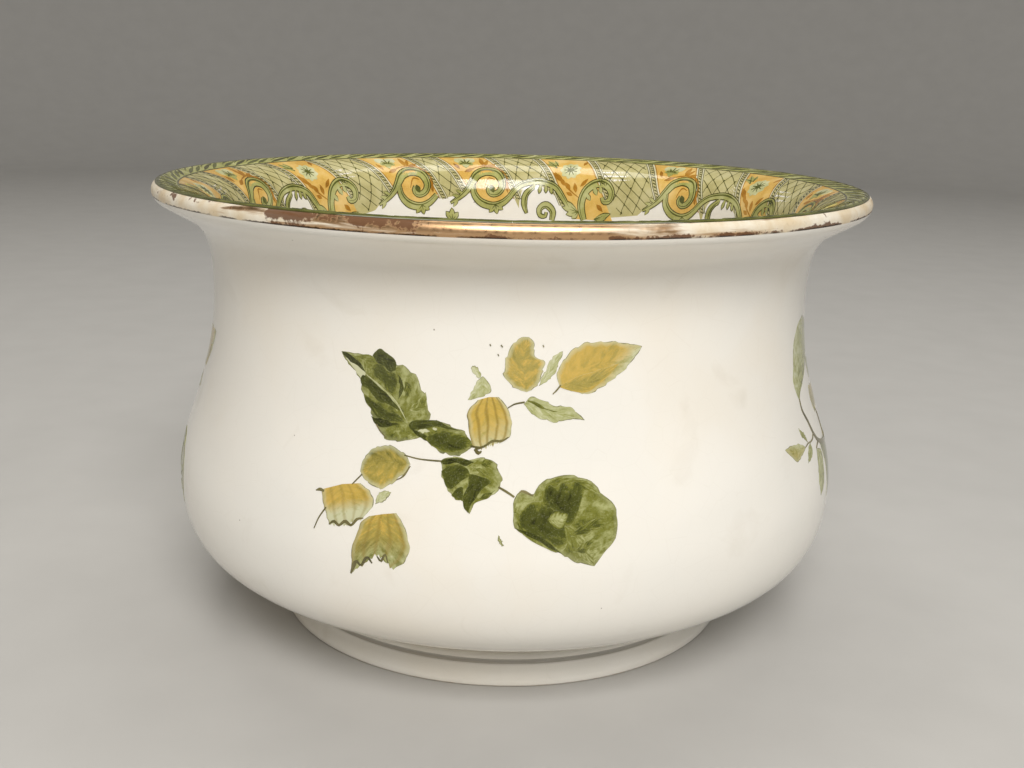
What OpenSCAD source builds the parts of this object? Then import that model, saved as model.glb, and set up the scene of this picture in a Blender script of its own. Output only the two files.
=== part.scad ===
// Chamber pot: a round-bellied earthenware bowl with a rolled lip, on a turned foot ring,
// with one strap handle. Foot ring and handle are luted to the bowl with slip.
// Sizes are in millimetres. The origin is the centre of the foot on the ground, +Z is up
// and the handle is on the +Y side.

/* [Bowl] */
// Outside diameter of the lip
rim_d = 224; // [214:1:240]
// Largest outside diameter of the belly
belly_d = 215; // [205:1:225]
// Smallest outside diameter of the neck
neck_d = 190; // [180:1:198]
// Diameter of the flat underside
base_d = 141; // [134:1:150]
// Height of the belly's widest line above the underside
belly_rise = 35.3; // [31:0.1:42]
// Height of the neck above the belly's widest line
neck_rise = 61; // [52:1:72]
// Height of the lip's top above the neck
lip_rise = 32; // [28:1:40]
// Thickness of the wall
wall = 5; // [4:0.5:6.5]
// Thickness of the floor
floor_t = 6; // [5:0.5:8]
// Diameter of the flat inside floor
floor_d = 120; // [104:2:128]

/* [Lip] */
// Radius of the lip's upper, inner round
lip_top_round = 2.8; // [2:0.1:3.4]
// Radius of the lip's lower, outer round
lip_under_round = 4; // [3:0.1:5]
// Slope of the underside where it meets the lip, from level
lip_under_angle = 32; // [20:1:40]

/* [Curves] */
// Slope of the wall where it leaves the underside, from level
base_angle = 21.5; // [15:0.5:28]
// Fullness of the curve from the underside to the belly
lower_fullness = 0.7; // [0.5:0.02:0.8]
// Fullness of the shoulder above the belly
shoulder_fullness = 0.3; // [0.2:0.02:0.5]
// Length of the straight stretch below the neck, as a share of the neck's rise
neck_fullness = 0.5; // [0.3:0.02:0.6]
// Tightness of the turn from the neck to the lip
flare_fullness = 0.8; // [0.5:0.02:0.9]

/* [Foot ring] */
// Diameter of the foot ring on the ground
foot_d = 151; // [147:1:160]
// Height of the foot ring
foot_h = 10.5; // [9.5:0.1:13]
// Width of the face that it rests on
rest_w = 6; // [4:0.5:8]
// Width of the face that is luted to the bowl
seat_w = 11; // [8:0.5:14]
// Radius of the worn lower edge
foot_edge = 0.8; // [0.4:0.1:1.4]
// Height of the flared face
flare_h = 6.4; // [5.4:0.1:6.8]
// Set-back of the flared face's top from its bottom
flare_set = 2; // [1:0.1:3]
// Radius of the groove above the flared face
groove_r = 0.8; // [0.5:0.1:1]

/* [Handle] */
// Width of the strap halfway along
strap_w = 22; // [18:1:26]
// Thickness of the strap halfway along
strap_t = 10; // [8:0.5:12]
// Width of the strap at its roots
root_w = 26; // [22:1:32]
// Thickness of the strap at its roots
root_t = 12; // [10:0.5:14]
// Height of the upper root above the neck, where it starts inside the wall
upper_root_lift = 7; // [3:0.5:9]
// Height of the lower root above the belly's widest line, where it starts inside the wall
lower_root_lift = 10; // [6:0.5:16]
// Upward slope of the upper root
upper_root_angle = 9; // [0:1:14]
// Upward slope of the lower root
lower_root_angle = 25; // [15:1:32]
// How far the upper root's direction pulls the strap outwards, as a share of the roots' distance
upper_pull = 1.28; // [1.1:0.02:1.48]
// How far the lower root's direction pulls the strap outwards, as a share of the roots' distance
lower_pull = 0.93; // [0.8:0.01:1.13]

/* [Slip] */
// Thickness of the slip under the foot and handle joints
slip_t = 1.5; // [0.8:0.1:2.5]
// Margin of the slip around a handle root
slip_margin = 2.5; // [1.5:0.5:4]

/* [Hidden] */
// Number of straight steps in each curve of the wall
wall_steps = 14;
// Number of straight steps in each small round
round_steps = 6;
// Number of straight steps along the strap
strap_steps = 40;
// Number of straight steps round each edge of the strap
edge_steps = 10;
// How late the strap widens towards its roots
root_power = 4;
$fn = 96;

rim_r = rim_d / 2;
belly_r = belly_d / 2;
neck_r = neck_d / 2;
base_r = base_d / 2;
foot_r = foot_d / 2;
floor_r = floor_d / 2;

base_z = foot_h + slip_t;
belly_z = base_z + belly_rise;
neck_z = belly_z + neck_rise;
top_z = neck_z + lip_rise;
floor_z = base_z + floor_t;

// The lip's widest line, where its upper and lower rounds meet
lip_z = top_z - lip_top_round;
lip_under_r = rim_r - lip_under_round + lip_under_round * sin(lip_under_angle);
lip_under_z = lip_z - lip_under_round * cos(lip_under_angle);

function polar(angle, length) = [length * cos(angle), length * sin(angle)];

// Points of a cubic curve from a to d, without its first point
function curve(a, b, c, d) = [
    for (i = [1 : wall_steps])
        let (t = i / wall_steps, s = 1 - t)
        s * s * s * a + 3 * s * s * t * b + 3 * s * t * t * c + t * t * t * d
];

// Points of a round from one angle to another, without its first point
function round_points(centre, radius, from, to) = [
    for (i = [1 : round_steps])
        centre + polar(from + (to - from) * i / round_steps, radius)
];

// The bowl's outside in the radius and height plane, grown outwards by a margin
function lower_wall(grow) =
    let (
        start = [base_r, base_z] + polar(base_angle - 90, grow),
        end = [belly_r + grow, belly_z]
    )
    concat(
        [start],
        curve(
            start,
            start + polar(base_angle, lower_fullness * (belly_r - base_r)),
            end - [0, lower_fullness * belly_rise],
            end
        )
    );

function upper_wall(grow) =
    curve(
        [belly_r + grow, belly_z],
        [belly_r + grow, belly_z + shoulder_fullness * neck_rise],
        [neck_r + grow, neck_z - neck_fullness * neck_rise],
        [neck_r + grow, neck_z]
    );

function flare(grow) =
    let (end = [lip_under_r, lip_under_z] + polar(lip_under_angle - 90, grow))
    curve(
        [neck_r + grow, neck_z],
        [neck_r + grow, neck_z + flare_fullness * (lip_under_z - neck_z)],
        end - polar(lip_under_angle, flare_fullness * (lip_under_r - neck_r)),
        end
    );

function outside(grow) = concat(lower_wall(grow), upper_wall(grow), flare(grow));

function lip() = concat(
    round_points([rim_r - lip_under_round, lip_z], lip_under_round, lip_under_angle - 90, 0),
    round_points([rim_r - lip_top_round, lip_z], lip_top_round, 0, 90)
);

// The bowl's inside, from the lip's top down to the floor
function inside() =
    let (
        lip_top = [rim_r - lip_top_round, top_z],
        neck = [neck_r - wall, neck_z],
        belly = [belly_r - wall, belly_z],
        floor_edge = [floor_r, floor_z]
    )
    concat(
        curve(
            lip_top,
            lip_top - [flare_fullness * (lip_top[0] - neck[0]), 0],
            neck + [0, flare_fullness * lip_rise],
            neck
        ),
        curve(
            neck,
            neck - [0, neck_fullness * neck_rise],
            belly + [0, shoulder_fullness * neck_rise],
            belly
        ),
        curve(
            belly,
            belly - [0, lower_fullness * (belly_z - floor_z)],
            floor_edge + [lower_fullness * (belly[0] - floor_r), 0],
            floor_edge
        )
    );

// The space that the bowl fills below its lip, without its hollow, grown outwards by a margin
module envelope(grow) {
    edge = outside(grow);
    rotate_extrude()
        polygon(concat([[0, base_z - grow]], edge, [[0, edge[len(edge) - 1][1]]]));
}

module bowl() {
    color("ivory")
        rotate_extrude()
            polygon(concat([[0, base_z]], outside(0), lip(), inside(), [[0, floor_z]]));
}

// Radius of the foot ring above its flared face, and of the bead's top
waist_r = foot_r - flare_set;
groove_z = flare_h + groove_r;
bead_round = (foot_h - groove_z - groove_r) / 2;
bead_z = foot_h - bead_round;

module foot_ring() {
    color("linen")
        rotate_extrude()
            polygon(concat(
                [[foot_r - rest_w, 0], [foot_r - foot_edge, 0]],
                round_points([foot_r - foot_edge, foot_edge], foot_edge, -90, 0),
                [[waist_r, flare_h]],
                round_points([waist_r, groove_z], groove_r, 270, 90),
                round_points([waist_r, bead_z], bead_round, -90, 90),
                [[waist_r - seat_w, foot_h]]
            ));
}

module foot_slip() {
    color("antiquewhite")
        rotate_extrude()
            polygon([
                [waist_r - seat_w, foot_h],
                [waist_r, foot_h],
                [base_r, base_z],
                [waist_r - seat_w, base_z]
            ]);
}

// The strap's middle line in the plane of Y and Z, from the upper root to the lower one
upper_root = [neck_r - wall, neck_z + upper_root_lift];
lower_root = [neck_r - wall, belly_z + lower_root_lift];
root_gap = upper_root[1] - lower_root[1];
upper_guide = upper_root + polar(upper_root_angle, upper_pull * root_gap);
lower_guide = lower_root + polar(lower_root_angle, lower_pull * root_gap);

function strap_place(t) =
    let (s = 1 - t)
    s * s * s * upper_root + 3 * s * s * t * upper_guide
        + 3 * s * t * t * lower_guide + t * t * t * lower_root;

function strap_heading(t) =
    let (
        s = 1 - t,
        along = s * s * (upper_guide - upper_root) + 2 * s * t * (lower_guide - upper_guide)
            + t * t * (lower_root - lower_guide)
    )
    atan2(along[1], along[0]);

// A size along the strap, between its value halfway and its value at the roots
function blended(middle, root, t) = middle + (root - middle) * pow(2 * t - 1, root_power);

// The strap's round-edged section at a place along it, as points in space
function strap_ring(t) =
    let (
        half_t = blended(strap_t, root_t, t) / 2,
        flat = blended(strap_w, root_w, t) / 2 - half_t,
        place = strap_place(t),
        up = polar(strap_heading(t) + 90, 1)
    )
    [
        for (side = [1, -1], i = [0 : edge_steps])
            let (
                edge = polar(180 * i / edge_steps - 90, half_t) * side + [side * flat, 0],
                spot = place + edge[1] * up
            )
            [edge[0], spot[0], spot[1]]
    ];

// The whole strap, running on into the bowl at both roots
module strap() {
    sides = 2 * (edge_steps + 1);
    last = strap_steps * sides;
    points = [for (i = [0 : strap_steps]) each strap_ring(i / strap_steps)];
    skin = [
        for (i = [0 : strap_steps - 1], j = [0 : sides - 1])
            let (a = i * sides + j, b = i * sides + (j + 1) % sides)
            each [[a, a + sides, b], [b, a + sides, b + sides]]
    ];
    caps = [
        for (j = [1 : sides - 2])
            each [[0, j, j + 1], [last, last + j + 1, last + j]]
    ];
    polyhedron(points, concat(skin, caps));
}

module handle() {
    color("ivory")
        difference() {
            strap();
            envelope(slip_t);
        }
}

// A straight bar along a root's direction and out through the wall, wider than the root
// by the slip's margin
module root_bar(root, angle) {
    half = root_t / 2 + slip_margin;
    flat = (root_w - root_t) / 2;
    reach = belly_r - root[0] + slip_t + root_t;
    translate([0, root[0], root[1]])
        rotate([angle - 90, 0, 0])
            linear_extrude(reach) {
                square([2 * flat, 2 * half], center = true);
                for (side = [-1, 1])
                    translate([side * flat, 0])
                        circle(half);
            }
}

// Slip between a handle root and the bowl, following the wall
module root_slip() {
    color("antiquewhite")
        difference() {
            intersection() {
                children();
                envelope(slip_t);
            }
            envelope(0);
        }
}

module upper_handle_slip() {
    root_slip()
        root_bar(upper_root, upper_root_angle);
}

module lower_handle_slip() {
    root_slip()
        root_bar(lower_root, lower_root_angle);
}

bowl();
foot_ring();
foot_slip();
handle();
upper_handle_slip();
lower_handle_slip();
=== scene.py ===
import math
import random

import bmesh
import bpy
import numpy as np
from mathutils import Matrix, Vector
from mathutils.bvhtree import BVHTree


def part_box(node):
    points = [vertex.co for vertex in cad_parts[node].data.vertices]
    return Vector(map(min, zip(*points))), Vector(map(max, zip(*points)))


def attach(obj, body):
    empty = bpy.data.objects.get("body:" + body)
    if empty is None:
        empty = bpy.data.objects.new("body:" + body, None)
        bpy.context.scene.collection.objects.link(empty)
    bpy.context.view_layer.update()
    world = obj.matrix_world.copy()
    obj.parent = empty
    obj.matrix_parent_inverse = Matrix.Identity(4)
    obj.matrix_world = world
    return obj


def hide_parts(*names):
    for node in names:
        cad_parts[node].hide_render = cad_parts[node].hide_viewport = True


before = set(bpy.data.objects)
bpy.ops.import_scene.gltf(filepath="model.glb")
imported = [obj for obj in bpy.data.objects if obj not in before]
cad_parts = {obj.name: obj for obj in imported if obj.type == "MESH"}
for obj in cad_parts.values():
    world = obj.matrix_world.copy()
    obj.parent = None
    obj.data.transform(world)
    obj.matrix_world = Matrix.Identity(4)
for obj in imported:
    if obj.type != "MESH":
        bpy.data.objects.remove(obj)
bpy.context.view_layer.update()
mm = 0.001
print("frame loaded,", len(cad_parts), "solids")


# small tools for curves
def aim(angle):
    return np.array([math.cos(angle), math.sin(angle)])


def bezier(a, b, c, d, steps=40):
    t = np.linspace(0, 1, steps + 1)[1:, None]
    a, b, c, d = (np.array(p, float) for p in (a, b, c, d))
    return (1 - t) ** 3 * a + 3 * (1 - t) ** 2 * t * b + 3 * (1 - t) * t ** 2 * c + t ** 3 * d


def roundLine(centre, radius, start, end, steps=14):
    angle = np.radians(np.linspace(start, end, steps + 1)[1:])
    return np.array(centre) + radius * np.stack([np.cos(angle), np.sin(angle)], 1)


def lengthAlong(line):
    return np.r_[0, np.cumsum(np.hypot(*np.diff(line, axis=0).T))]


def smoothLine(points, count):
    # an even, rounded line through a few points
    p = np.array(points, float)
    if len(p) == 2:
        return p[0] + (p[1] - p[0]) * np.linspace(0, 1, count)[:, None]
    ends = np.vstack([2 * p[0] - p[1], p, 2 * p[-1] - p[-2]])
    t = np.linspace(0, 1, 13)[:-1, None]
    run = []
    for a, b, c, d in zip(ends, ends[1:], ends[2:], ends[3:]):
        run.append(0.5 * (2 * b + (c - a) * t + (2 * a - 5 * b + 4 * c - d) * t ** 2
                          + (3 * b - a - 3 * c + d) * t ** 3))
    run = np.vstack(run + [p[-1:]])
    way = lengthAlong(run)
    even = np.linspace(0, way[-1], count)
    return np.stack([np.interp(even, way, run[:, 0]), np.interp(even, way, run[:, 1])], 1)


def strokeEdges(points, widths, step=0.8):
    # the two edges of a drawn stroke, with its widths spread along it
    length = np.hypot(*np.diff(np.array(points, float), axis=0).T).sum()
    count = max(4, int(length / step) + 2)
    line = smoothLine(points, count)
    along = np.gradient(line, axis=0)
    along /= np.maximum(np.hypot(*along.T), 1e-9)[:, None]
    across = np.stack([-along[:, 1], along[:, 0]], 1)
    half = np.interp(np.linspace(0, 1, count), np.linspace(0, 1, len(widths)), widths)[:, None] / 2
    return line + across * half, line - across * half


# small tools for materials
def hexColour(code):
    # sRGB hex to linear RGBA
    parts = [int(code[i:i + 2], 16) / 255 for i in (1, 3, 5)]
    return [c / 12.92 if c <= 0.04045 else ((c + 0.055) / 1.055) ** 2.4 for c in parts] + [1.0]


def addNode(tree, kind, sockets=None, stops=(), **settings):
    # one node, with its settings, its values and its links; a value is a number, a hex code, a socket,
    # or a node that stands for its output, and stops are a ramp's colours or grey levels
    node = tree.nodes.new("ShaderNode" + kind)
    for name, value in settings.items():
        setattr(node, name, value)
    for name, value in (sockets or {}).items():
        if isinstance(value, bpy.types.Node):
            value = next(output for output in value.outputs if output.enabled)
        if isinstance(value, bpy.types.NodeSocket):
            tree.links.new(value, node.inputs[name])
        else:
            node.inputs[name].default_value = hexColour(value) if isinstance(value, str) else value
    while stops and len(node.color_ramp.elements) < len(stops):
        node.color_ramp.elements.new(0.5)
    for k, (place, colour) in enumerate(stops):
        element = node.color_ramp.elements[k]
        element.position = place
        element.color = hexColour(colour) if isinstance(colour, str) else [colour] * 3 + [1.0]
    return node


def startMaterial(name):
    # an empty material, its nodes and the place on the piece
    material = bpy.data.materials.new(name)
    material.use_nodes = True
    tree = material.node_tree
    tree.nodes.clear()
    return material, tree, addNode(tree, "TexCoord").outputs["Object"]


# the turned pot, in millimetres, on the same curves as its solids, with the lip eased inwards
bowlLow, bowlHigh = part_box("bowl")
pot = {
    "rimRadius": bowlHigh.x / mm,
    "topHeight": bowlHigh.z / mm,
    "baseHeight": bowlLow.z / mm,
    "bellyRadius": 107.5,
    "bellyHeight": 47.3,
    "neckRadius": 95.0,
    "neckHeight": 108.3,
    "baseRadius": 70.5,
    "baseAngle": 21.5,
    "wall": 5.0,
    "floorRadius": 60.0,
    "floorHeight": 18.0,
    "lipTopRound": 2.8,
    "lipUnderRound": 4.0,
    "lipUnderAngle": 32.0,
    "lipInAngle": 14.0,    # how far the round goes over the top
    # how far each curve runs on before it turns, as a share of its rise or its spread
    "basePull": 0.7,
    "bellyPull": 0.3,
    "neckPull": 0.5,
    "lipPull": 0.8,
    "lean": 0.4,           # the thrown rim stands a little to one side
    "oval": 0.2,           # and isn't quite round
    "segments": 288,
}
lipHeight = pot["topHeight"] - pot["lipTopRound"]
under, inward, rise = (math.radians(pot[k]) for k in ("lipUnderAngle", "lipInAngle", "baseAngle"))
baseEdge = np.array([pot["baseRadius"], pot["baseHeight"]])
belly = np.array([pot["bellyRadius"], pot["bellyHeight"]])
neck = np.array([pot["neckRadius"], pot["neckHeight"]])
lipUnderMiddle = np.array([pot["rimRadius"] - pot["lipUnderRound"], lipHeight])
lipTopMiddle = np.array([pot["rimRadius"] - pot["lipTopRound"], lipHeight])
lipUnder = lipUnderMiddle + pot["lipUnderRound"] * aim(under - math.pi / 2)
lipIn = lipTopMiddle + pot["lipTopRound"] * aim(inward + math.pi / 2)
innerNeck = neck - [pot["wall"], 0]
innerBelly = belly - [pot["wall"], 0]
floorEdge = np.array([pot["floorRadius"], pot["floorHeight"]])
neckRise = neck[1] - belly[1]
bellyTurn = np.array([0, pot["bellyPull"] * neckRise])
neckTurn = np.array([0, pot["neckPull"] * neckRise])
wallParts = [
    baseEdge[None],
    bezier(baseEdge, baseEdge + pot["basePull"] * (belly[0] - baseEdge[0]) * aim(rise),
           belly - [0, pot["basePull"] * (belly[1] - baseEdge[1])], belly),
    bezier(belly, belly + bellyTurn, neck - neckTurn, neck),
    bezier(neck, neck + [0, pot["lipPull"] * (lipUnder[1] - neck[1])],
           lipUnder - pot["lipPull"] * (lipUnder[0] - neck[0]) * aim(under), lipUnder),
    roundLine(lipUnderMiddle, pot["lipUnderRound"], pot["lipUnderAngle"] - 90, 0),
    roundLine(lipTopMiddle, pot["lipTopRound"], 0, 90),
    roundLine(lipTopMiddle, pot["lipTopRound"], 90, 90 + pot["lipInAngle"], 4),
    bezier(lipIn, lipIn - pot["lipPull"] * (lipIn[0] - innerNeck[0]) * aim(inward),
           innerNeck + [0, pot["lipPull"] * (lipIn[1] - innerNeck[1])], innerNeck),
    bezier(innerNeck, innerNeck - neckTurn, innerBelly + bellyTurn, innerBelly),
    bezier(innerBelly, innerBelly - [0, pot["basePull"] * (innerBelly[1] - floorEdge[1])],
           floorEdge + [pot["basePull"] * (innerBelly[0] - floorEdge[0]), 0], floorEdge),
]
wallLine = np.vstack(wallParts)
wallWay = lengthAlong(wallLine)
partEnds = np.cumsum([len(p) for p in wallParts]) - 1
wayWide, wayTop = wallWay[partEnds[4]], wallWay[partEnds[5]]
wallAlong = np.gradient(wallLine, wallWay, axis=0)
wallAlong /= np.hypot(*wallAlong.T)[:, None]
outerCount = partEnds[3] + 1
outerRadius, outerHeight = wallLine[:outerCount].T
outerWay = wallWay[:outerCount]


def wallPoint(theta, way, lift=0.0):
    # a place on the wall: angle from the front, + to the right; way from the base edge up, over and in
    r, z = (np.interp(way, wallWay, wallLine[:, i]) for i in (0, 1))
    dr, dz = (np.interp(way, wallWay, wallAlong[:, i]) for i in (0, 1))
    r, z = r + lift * dz, z - lift * dr
    return np.stack([r * np.sin(theta), -r * np.cos(theta), z + 0 * theta], -1)


def handThrown(points):
    # the slight lean and oval that the wheel leaves, the same for everything on the pot
    p = np.array(points, float)
    up = np.clip(p[:, 2] / pot["topHeight"], 0, 1) ** 2
    p[:, 1] *= 1 + up * pot["oval"] / pot["rimRadius"]
    p[:, 0] += up * pot["lean"]
    return p


def makePiece(name, verts, faces, material, slot, replaced=(), bakeMap=None, leafMap=None, wash=None,
              sharp=40):
    mesh = bpy.data.meshes.new(name)
    mesh.from_pydata((handThrown(verts) * mm).tolist(), [], faces)
    if leafMap is not None:
        loopVerts = np.zeros(len(mesh.loops), int)
        mesh.loops.foreach_get("vertex_index", loopVerts)
        layer = mesh.uv_layers.new(name="leaf")
        layer.uv.foreach_set("vector", np.array(leafMap, np.float32)[loopVerts].ravel())
    if bakeMap is not None:
        layer = mesh.uv_layers.new(name="OFBake")
        layer.uv.foreach_set("vector", np.array(bakeMap, np.float32).ravel())
    if wash is not None:
        layer = mesh.attributes.new("wash", "FLOAT_COLOR", "POINT")
        layer.data.foreach_set("color", np.array(wash, np.float32).ravel())
        skin = bmesh.new()   # a leaf's base and tip become single points
        skin.from_mesh(mesh)
        bmesh.ops.remove_doubles(skin, verts=skin.verts, dist=0.0001 * mm)
        skin.to_mesh(mesh)
        skin.free()
    mesh.polygons.foreach_set("use_smooth", [True] * len(mesh.polygons))
    mesh.set_sharp_from_angle(angle=math.radians(sharp))
    mesh.update()
    piece = bpy.data.objects.new(name, mesh)
    bpy.context.collection.objects.link(piece)
    mesh.materials.append(material)
    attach(piece, "root")
    if replaced:
        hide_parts(*replaced)


def ringFaces(rows, count):
    # quads between rings of points
    faces = []
    for i in range(0, count * (rows - 1), count):
        for k in range(count):
            n = (k + 1) % count
            faces.append((i + k, i + count + k, i + count + n, i + n))
    return faces


def turnedPiece(name, line, material, slot, replaced=(), closed=False):
    # a line of radius and height turned round the pot's axis; radius 0 closes on the axis
    count = pot["segments"]
    angle = np.linspace(-math.pi, math.pi, count, endpoint=False)   # the seam is at the back
    line = np.array(line, float)
    onAxis = line[:, 0] < 1e-6
    way = lengthAlong(line)
    verts, rings, faces, bakeMap = [], [], [], []
    for (r, z), point in zip(line, onAxis):
        rings.append(len(verts))
        if point:
            verts.append((0, 0, z))
        else:
            verts.extend(np.stack([r * np.sin(angle), -r * np.cos(angle), np.full(count, z)], 1))
    steps = [(i, i + 1) for i in range(len(line) - 1)] + ([(len(line) - 1, 0)] if closed else [])
    total = way[-1] + (np.hypot(*(line[0] - line[-1])) if closed else 0)
    for i, j in steps:
        low, high = way[i] / total, (way[j] if j else total) / total
        for k in range(count):
            n = (k + 1) % count
            left, middle, right = k / count, (k + 0.5) / count, (k + 1) / count
            a = (rings[i],) if onAxis[i] else (rings[i] + k, rings[i] + n)
            b = (rings[j],) if onAxis[j] else (rings[j] + n, rings[j] + k)
            faces.append(a + b)
            bakeMap += [(middle, low)] if onAxis[i] else [(left, low), (right, low)]
            bakeMap += [(middle, high)] if onAxis[j] else [(right, high), (left, high)]
    makePiece(name, verts, faces, material, slot, replaced, bakeMap=bakeMap)


def newSheet():
    return {"verts": [], "faces": [], "leaf": [], "wash": [], "count": 0}


def addPatch(sheet, theta, way, lift, depth=0.25, leaf=None, wash=None):
    # a thin closed skin on the wall, from a grid of angles and ways
    theta, way = np.broadcast_arrays(np.asarray(theta, float), np.asarray(way, float))
    rows, columns = theta.shape
    size = rows * columns
    sheet["verts"] += [wallPoint(theta, way, h).reshape(-1, 3) for h in (lift, -depth)]
    for key, value, width in (("leaf", leaf, 2), ("wash", wash, 4)):
        value = np.zeros((size, width)) if value is None else np.reshape(value, (-1, width))
        sheet[key] += [value, value]
    index = sheet["count"] + np.arange(size).reshape(rows, columns)
    sheet["count"] += 2 * size
    quads = np.stack([index[:-1, :-1], index[1:, :-1], index[1:, 1:], index[:-1, 1:]], -1).reshape(-1, 4)
    rim = np.r_[index[:, 0], index[-1, 1:], index[-2::-1, -1], index[0, -2:0:-1]]
    ahead = np.roll(rim, -1)
    skin = np.vstack([quads, quads[:, ::-1] + size, np.stack([ahead, rim, rim + size, ahead + size], 1)])
    turn = ((theta[1:, :-1] - theta[:-1, :-1]) * (way[:-1, 1:] - way[:-1, :-1])
            - (way[1:, :-1] - way[:-1, :-1]) * (theta[:-1, 1:] - theta[:-1, :-1])).sum()
    sheet["faces"] += (skin if turn > 0 else skin[:, ::-1]).tolist()


def sheetPiece(name, sheet, material, slot, withLeaf=False):
    maps = {"leafMap": "leaf", "wash": "wash"} if withLeaf else {}
    makePiece(name, np.vstack(sheet["verts"]), sheet["faces"], material, slot,
              **{key: np.vstack(sheet[value]) for key, value in maps.items()})


# the camera, from the photograph's framing; its image is taken as 1024 x 768
cameraView = {
    "place": (0.0, -376.4, 173.7),   # millimetres
    "pitch": 15.22,                  # degrees down
    "roll": 1.35,                    # the picture leans to the right by this
    "focalPixels": 1150.0,
    "axisPixels": -5.0,              # the pot's axis stands this far from the middle
    "imageWidth": 1024,
    "imageHeight": 768,
    "sensorWidth": 36,
}
pitch = math.radians(cameraView["pitch"])
roll = math.radians(cameraView["roll"])
yaw = -cameraView["axisPixels"] / cameraView["focalPixels"] / math.cos(pitch)
cameraPlace = Vector(cameraView["place"]) * mm
forward = Vector((math.sin(yaw) * math.cos(pitch), math.cos(yaw) * math.cos(pitch), -math.sin(pitch)))
level = forward.cross(Vector((0, 0, 1))).normalized()
upright = level.cross(forward)
cameraRight = level * math.cos(roll) + upright * math.sin(roll)
cameraUp = upright * math.cos(roll) - level * math.sin(roll)
lens = bpy.data.cameras.new("studioCamera")
lens.sensor_width = cameraView["sensorWidth"]
lens.lens = cameraView["focalPixels"] * cameraView["sensorWidth"] / cameraView["imageWidth"]
camera = bpy.data.objects.new("studioCamera", lens)
bpy.context.collection.objects.link(camera)
cameraTurn = Matrix((cameraRight, cameraUp, -forward)).transposed().to_4x4()
camera.matrix_world = Matrix.Translation(cameraPlace) @ cameraTurn
bpy.context.scene.camera = camera
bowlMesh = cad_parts["bowl"].data
bowlTree = BVHTree.FromPolygons([v.co for v in bowlMesh.vertices],
                                [tuple(p.vertices) for p in bowlMesh.polygons])


def wallAtPixel(pixel):
    # angle and way of the outside wall that shows at a pixel of the photograph
    x = pixel[0] - cameraView["imageWidth"] / 2
    y = cameraView["imageHeight"] / 2 - pixel[1]
    ray = (forward * cameraView["focalPixels"] + cameraRight * x + cameraUp * y).normalized()
    spot = bowlTree.ray_cast(cameraPlace, ray)[0]
    if spot is None:
        raise ValueError(f"no wall at pixel {pixel}")
    return math.atan2(spot.x, -spot.y), float(np.interp(spot.z / mm, outerHeight, outerWay))


print("camera set")


# Glazed earthenware: a buff body dipped in a clear lead glaze and fired, so it is creamy white and
# glossy, with clouds of warmer and greyer cream, a few iron specks, fine crazing and a soft ripple.
glazeLook = {
    "cream": "#F0ECE3",
    "warm": "#EFE9DD",
    "grey": "#EDEAE2",
    "smudge": "#B7A98F",
    "speck": "#6A5238",
    "shadeAndGrime": "#4A4032",
    # painted shade for the foot's groove, with some grime
    "bareClay": "#C9B594",
    "cloud": 55,       # mm across
    "smudgeSize": 22,  # mm
    "smudgeShare": 0.22,
    "speckPitch": 13,  # mm between specks
    "speckSize": 0.28,
    "speckShare": 0.75,
    "speckAbove": 0.62,   # the share of places that stay clean
    "craze": 7,        # mm between craze lines
    "crazeWidth": 0.1,    # mm, wider than real so that it shows
    "crazeShare": 0.05,
    "shadeAndGrimeReach": (0.3, 1.4),   # mm from the groove's middle, full and none
    "shadeAndGrimeShare": 0.4,
    "wear": 4,         # mm, the worn edge's wander
    "wearDepth": 0.6,
    "ripple": 5,       # mm
    "rippleDepth": 0.4,
    "rippleShare": 0.05,
    "roughness": 0.11,
    "bareRoughness": 0.7,
    "ior": 1.52,
}


def glazeOver(tree, place, tone, rough=glazeLook["roughness"]):
    # the clear coat over body and print alike: one gloss, and one soft ripple
    ripple = addNode(tree, "TexNoise", {"Vector": place, "Detail": 2,
                                        "Scale": 1 / (glazeLook["ripple"] * mm)})
    bump = addNode(tree, "Bump", {"Strength": glazeLook["rippleShare"], "Height": ripple,
                                  "Distance": glazeLook["rippleDepth"] * mm})
    shade = addNode(tree, "BsdfPrincipled", {"Base Color": tone, "Roughness": rough, "Normal": bump,
                                             "IOR": glazeLook["ior"]})
    addNode(tree, "OutputMaterial", {"Surface": shade})


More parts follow.
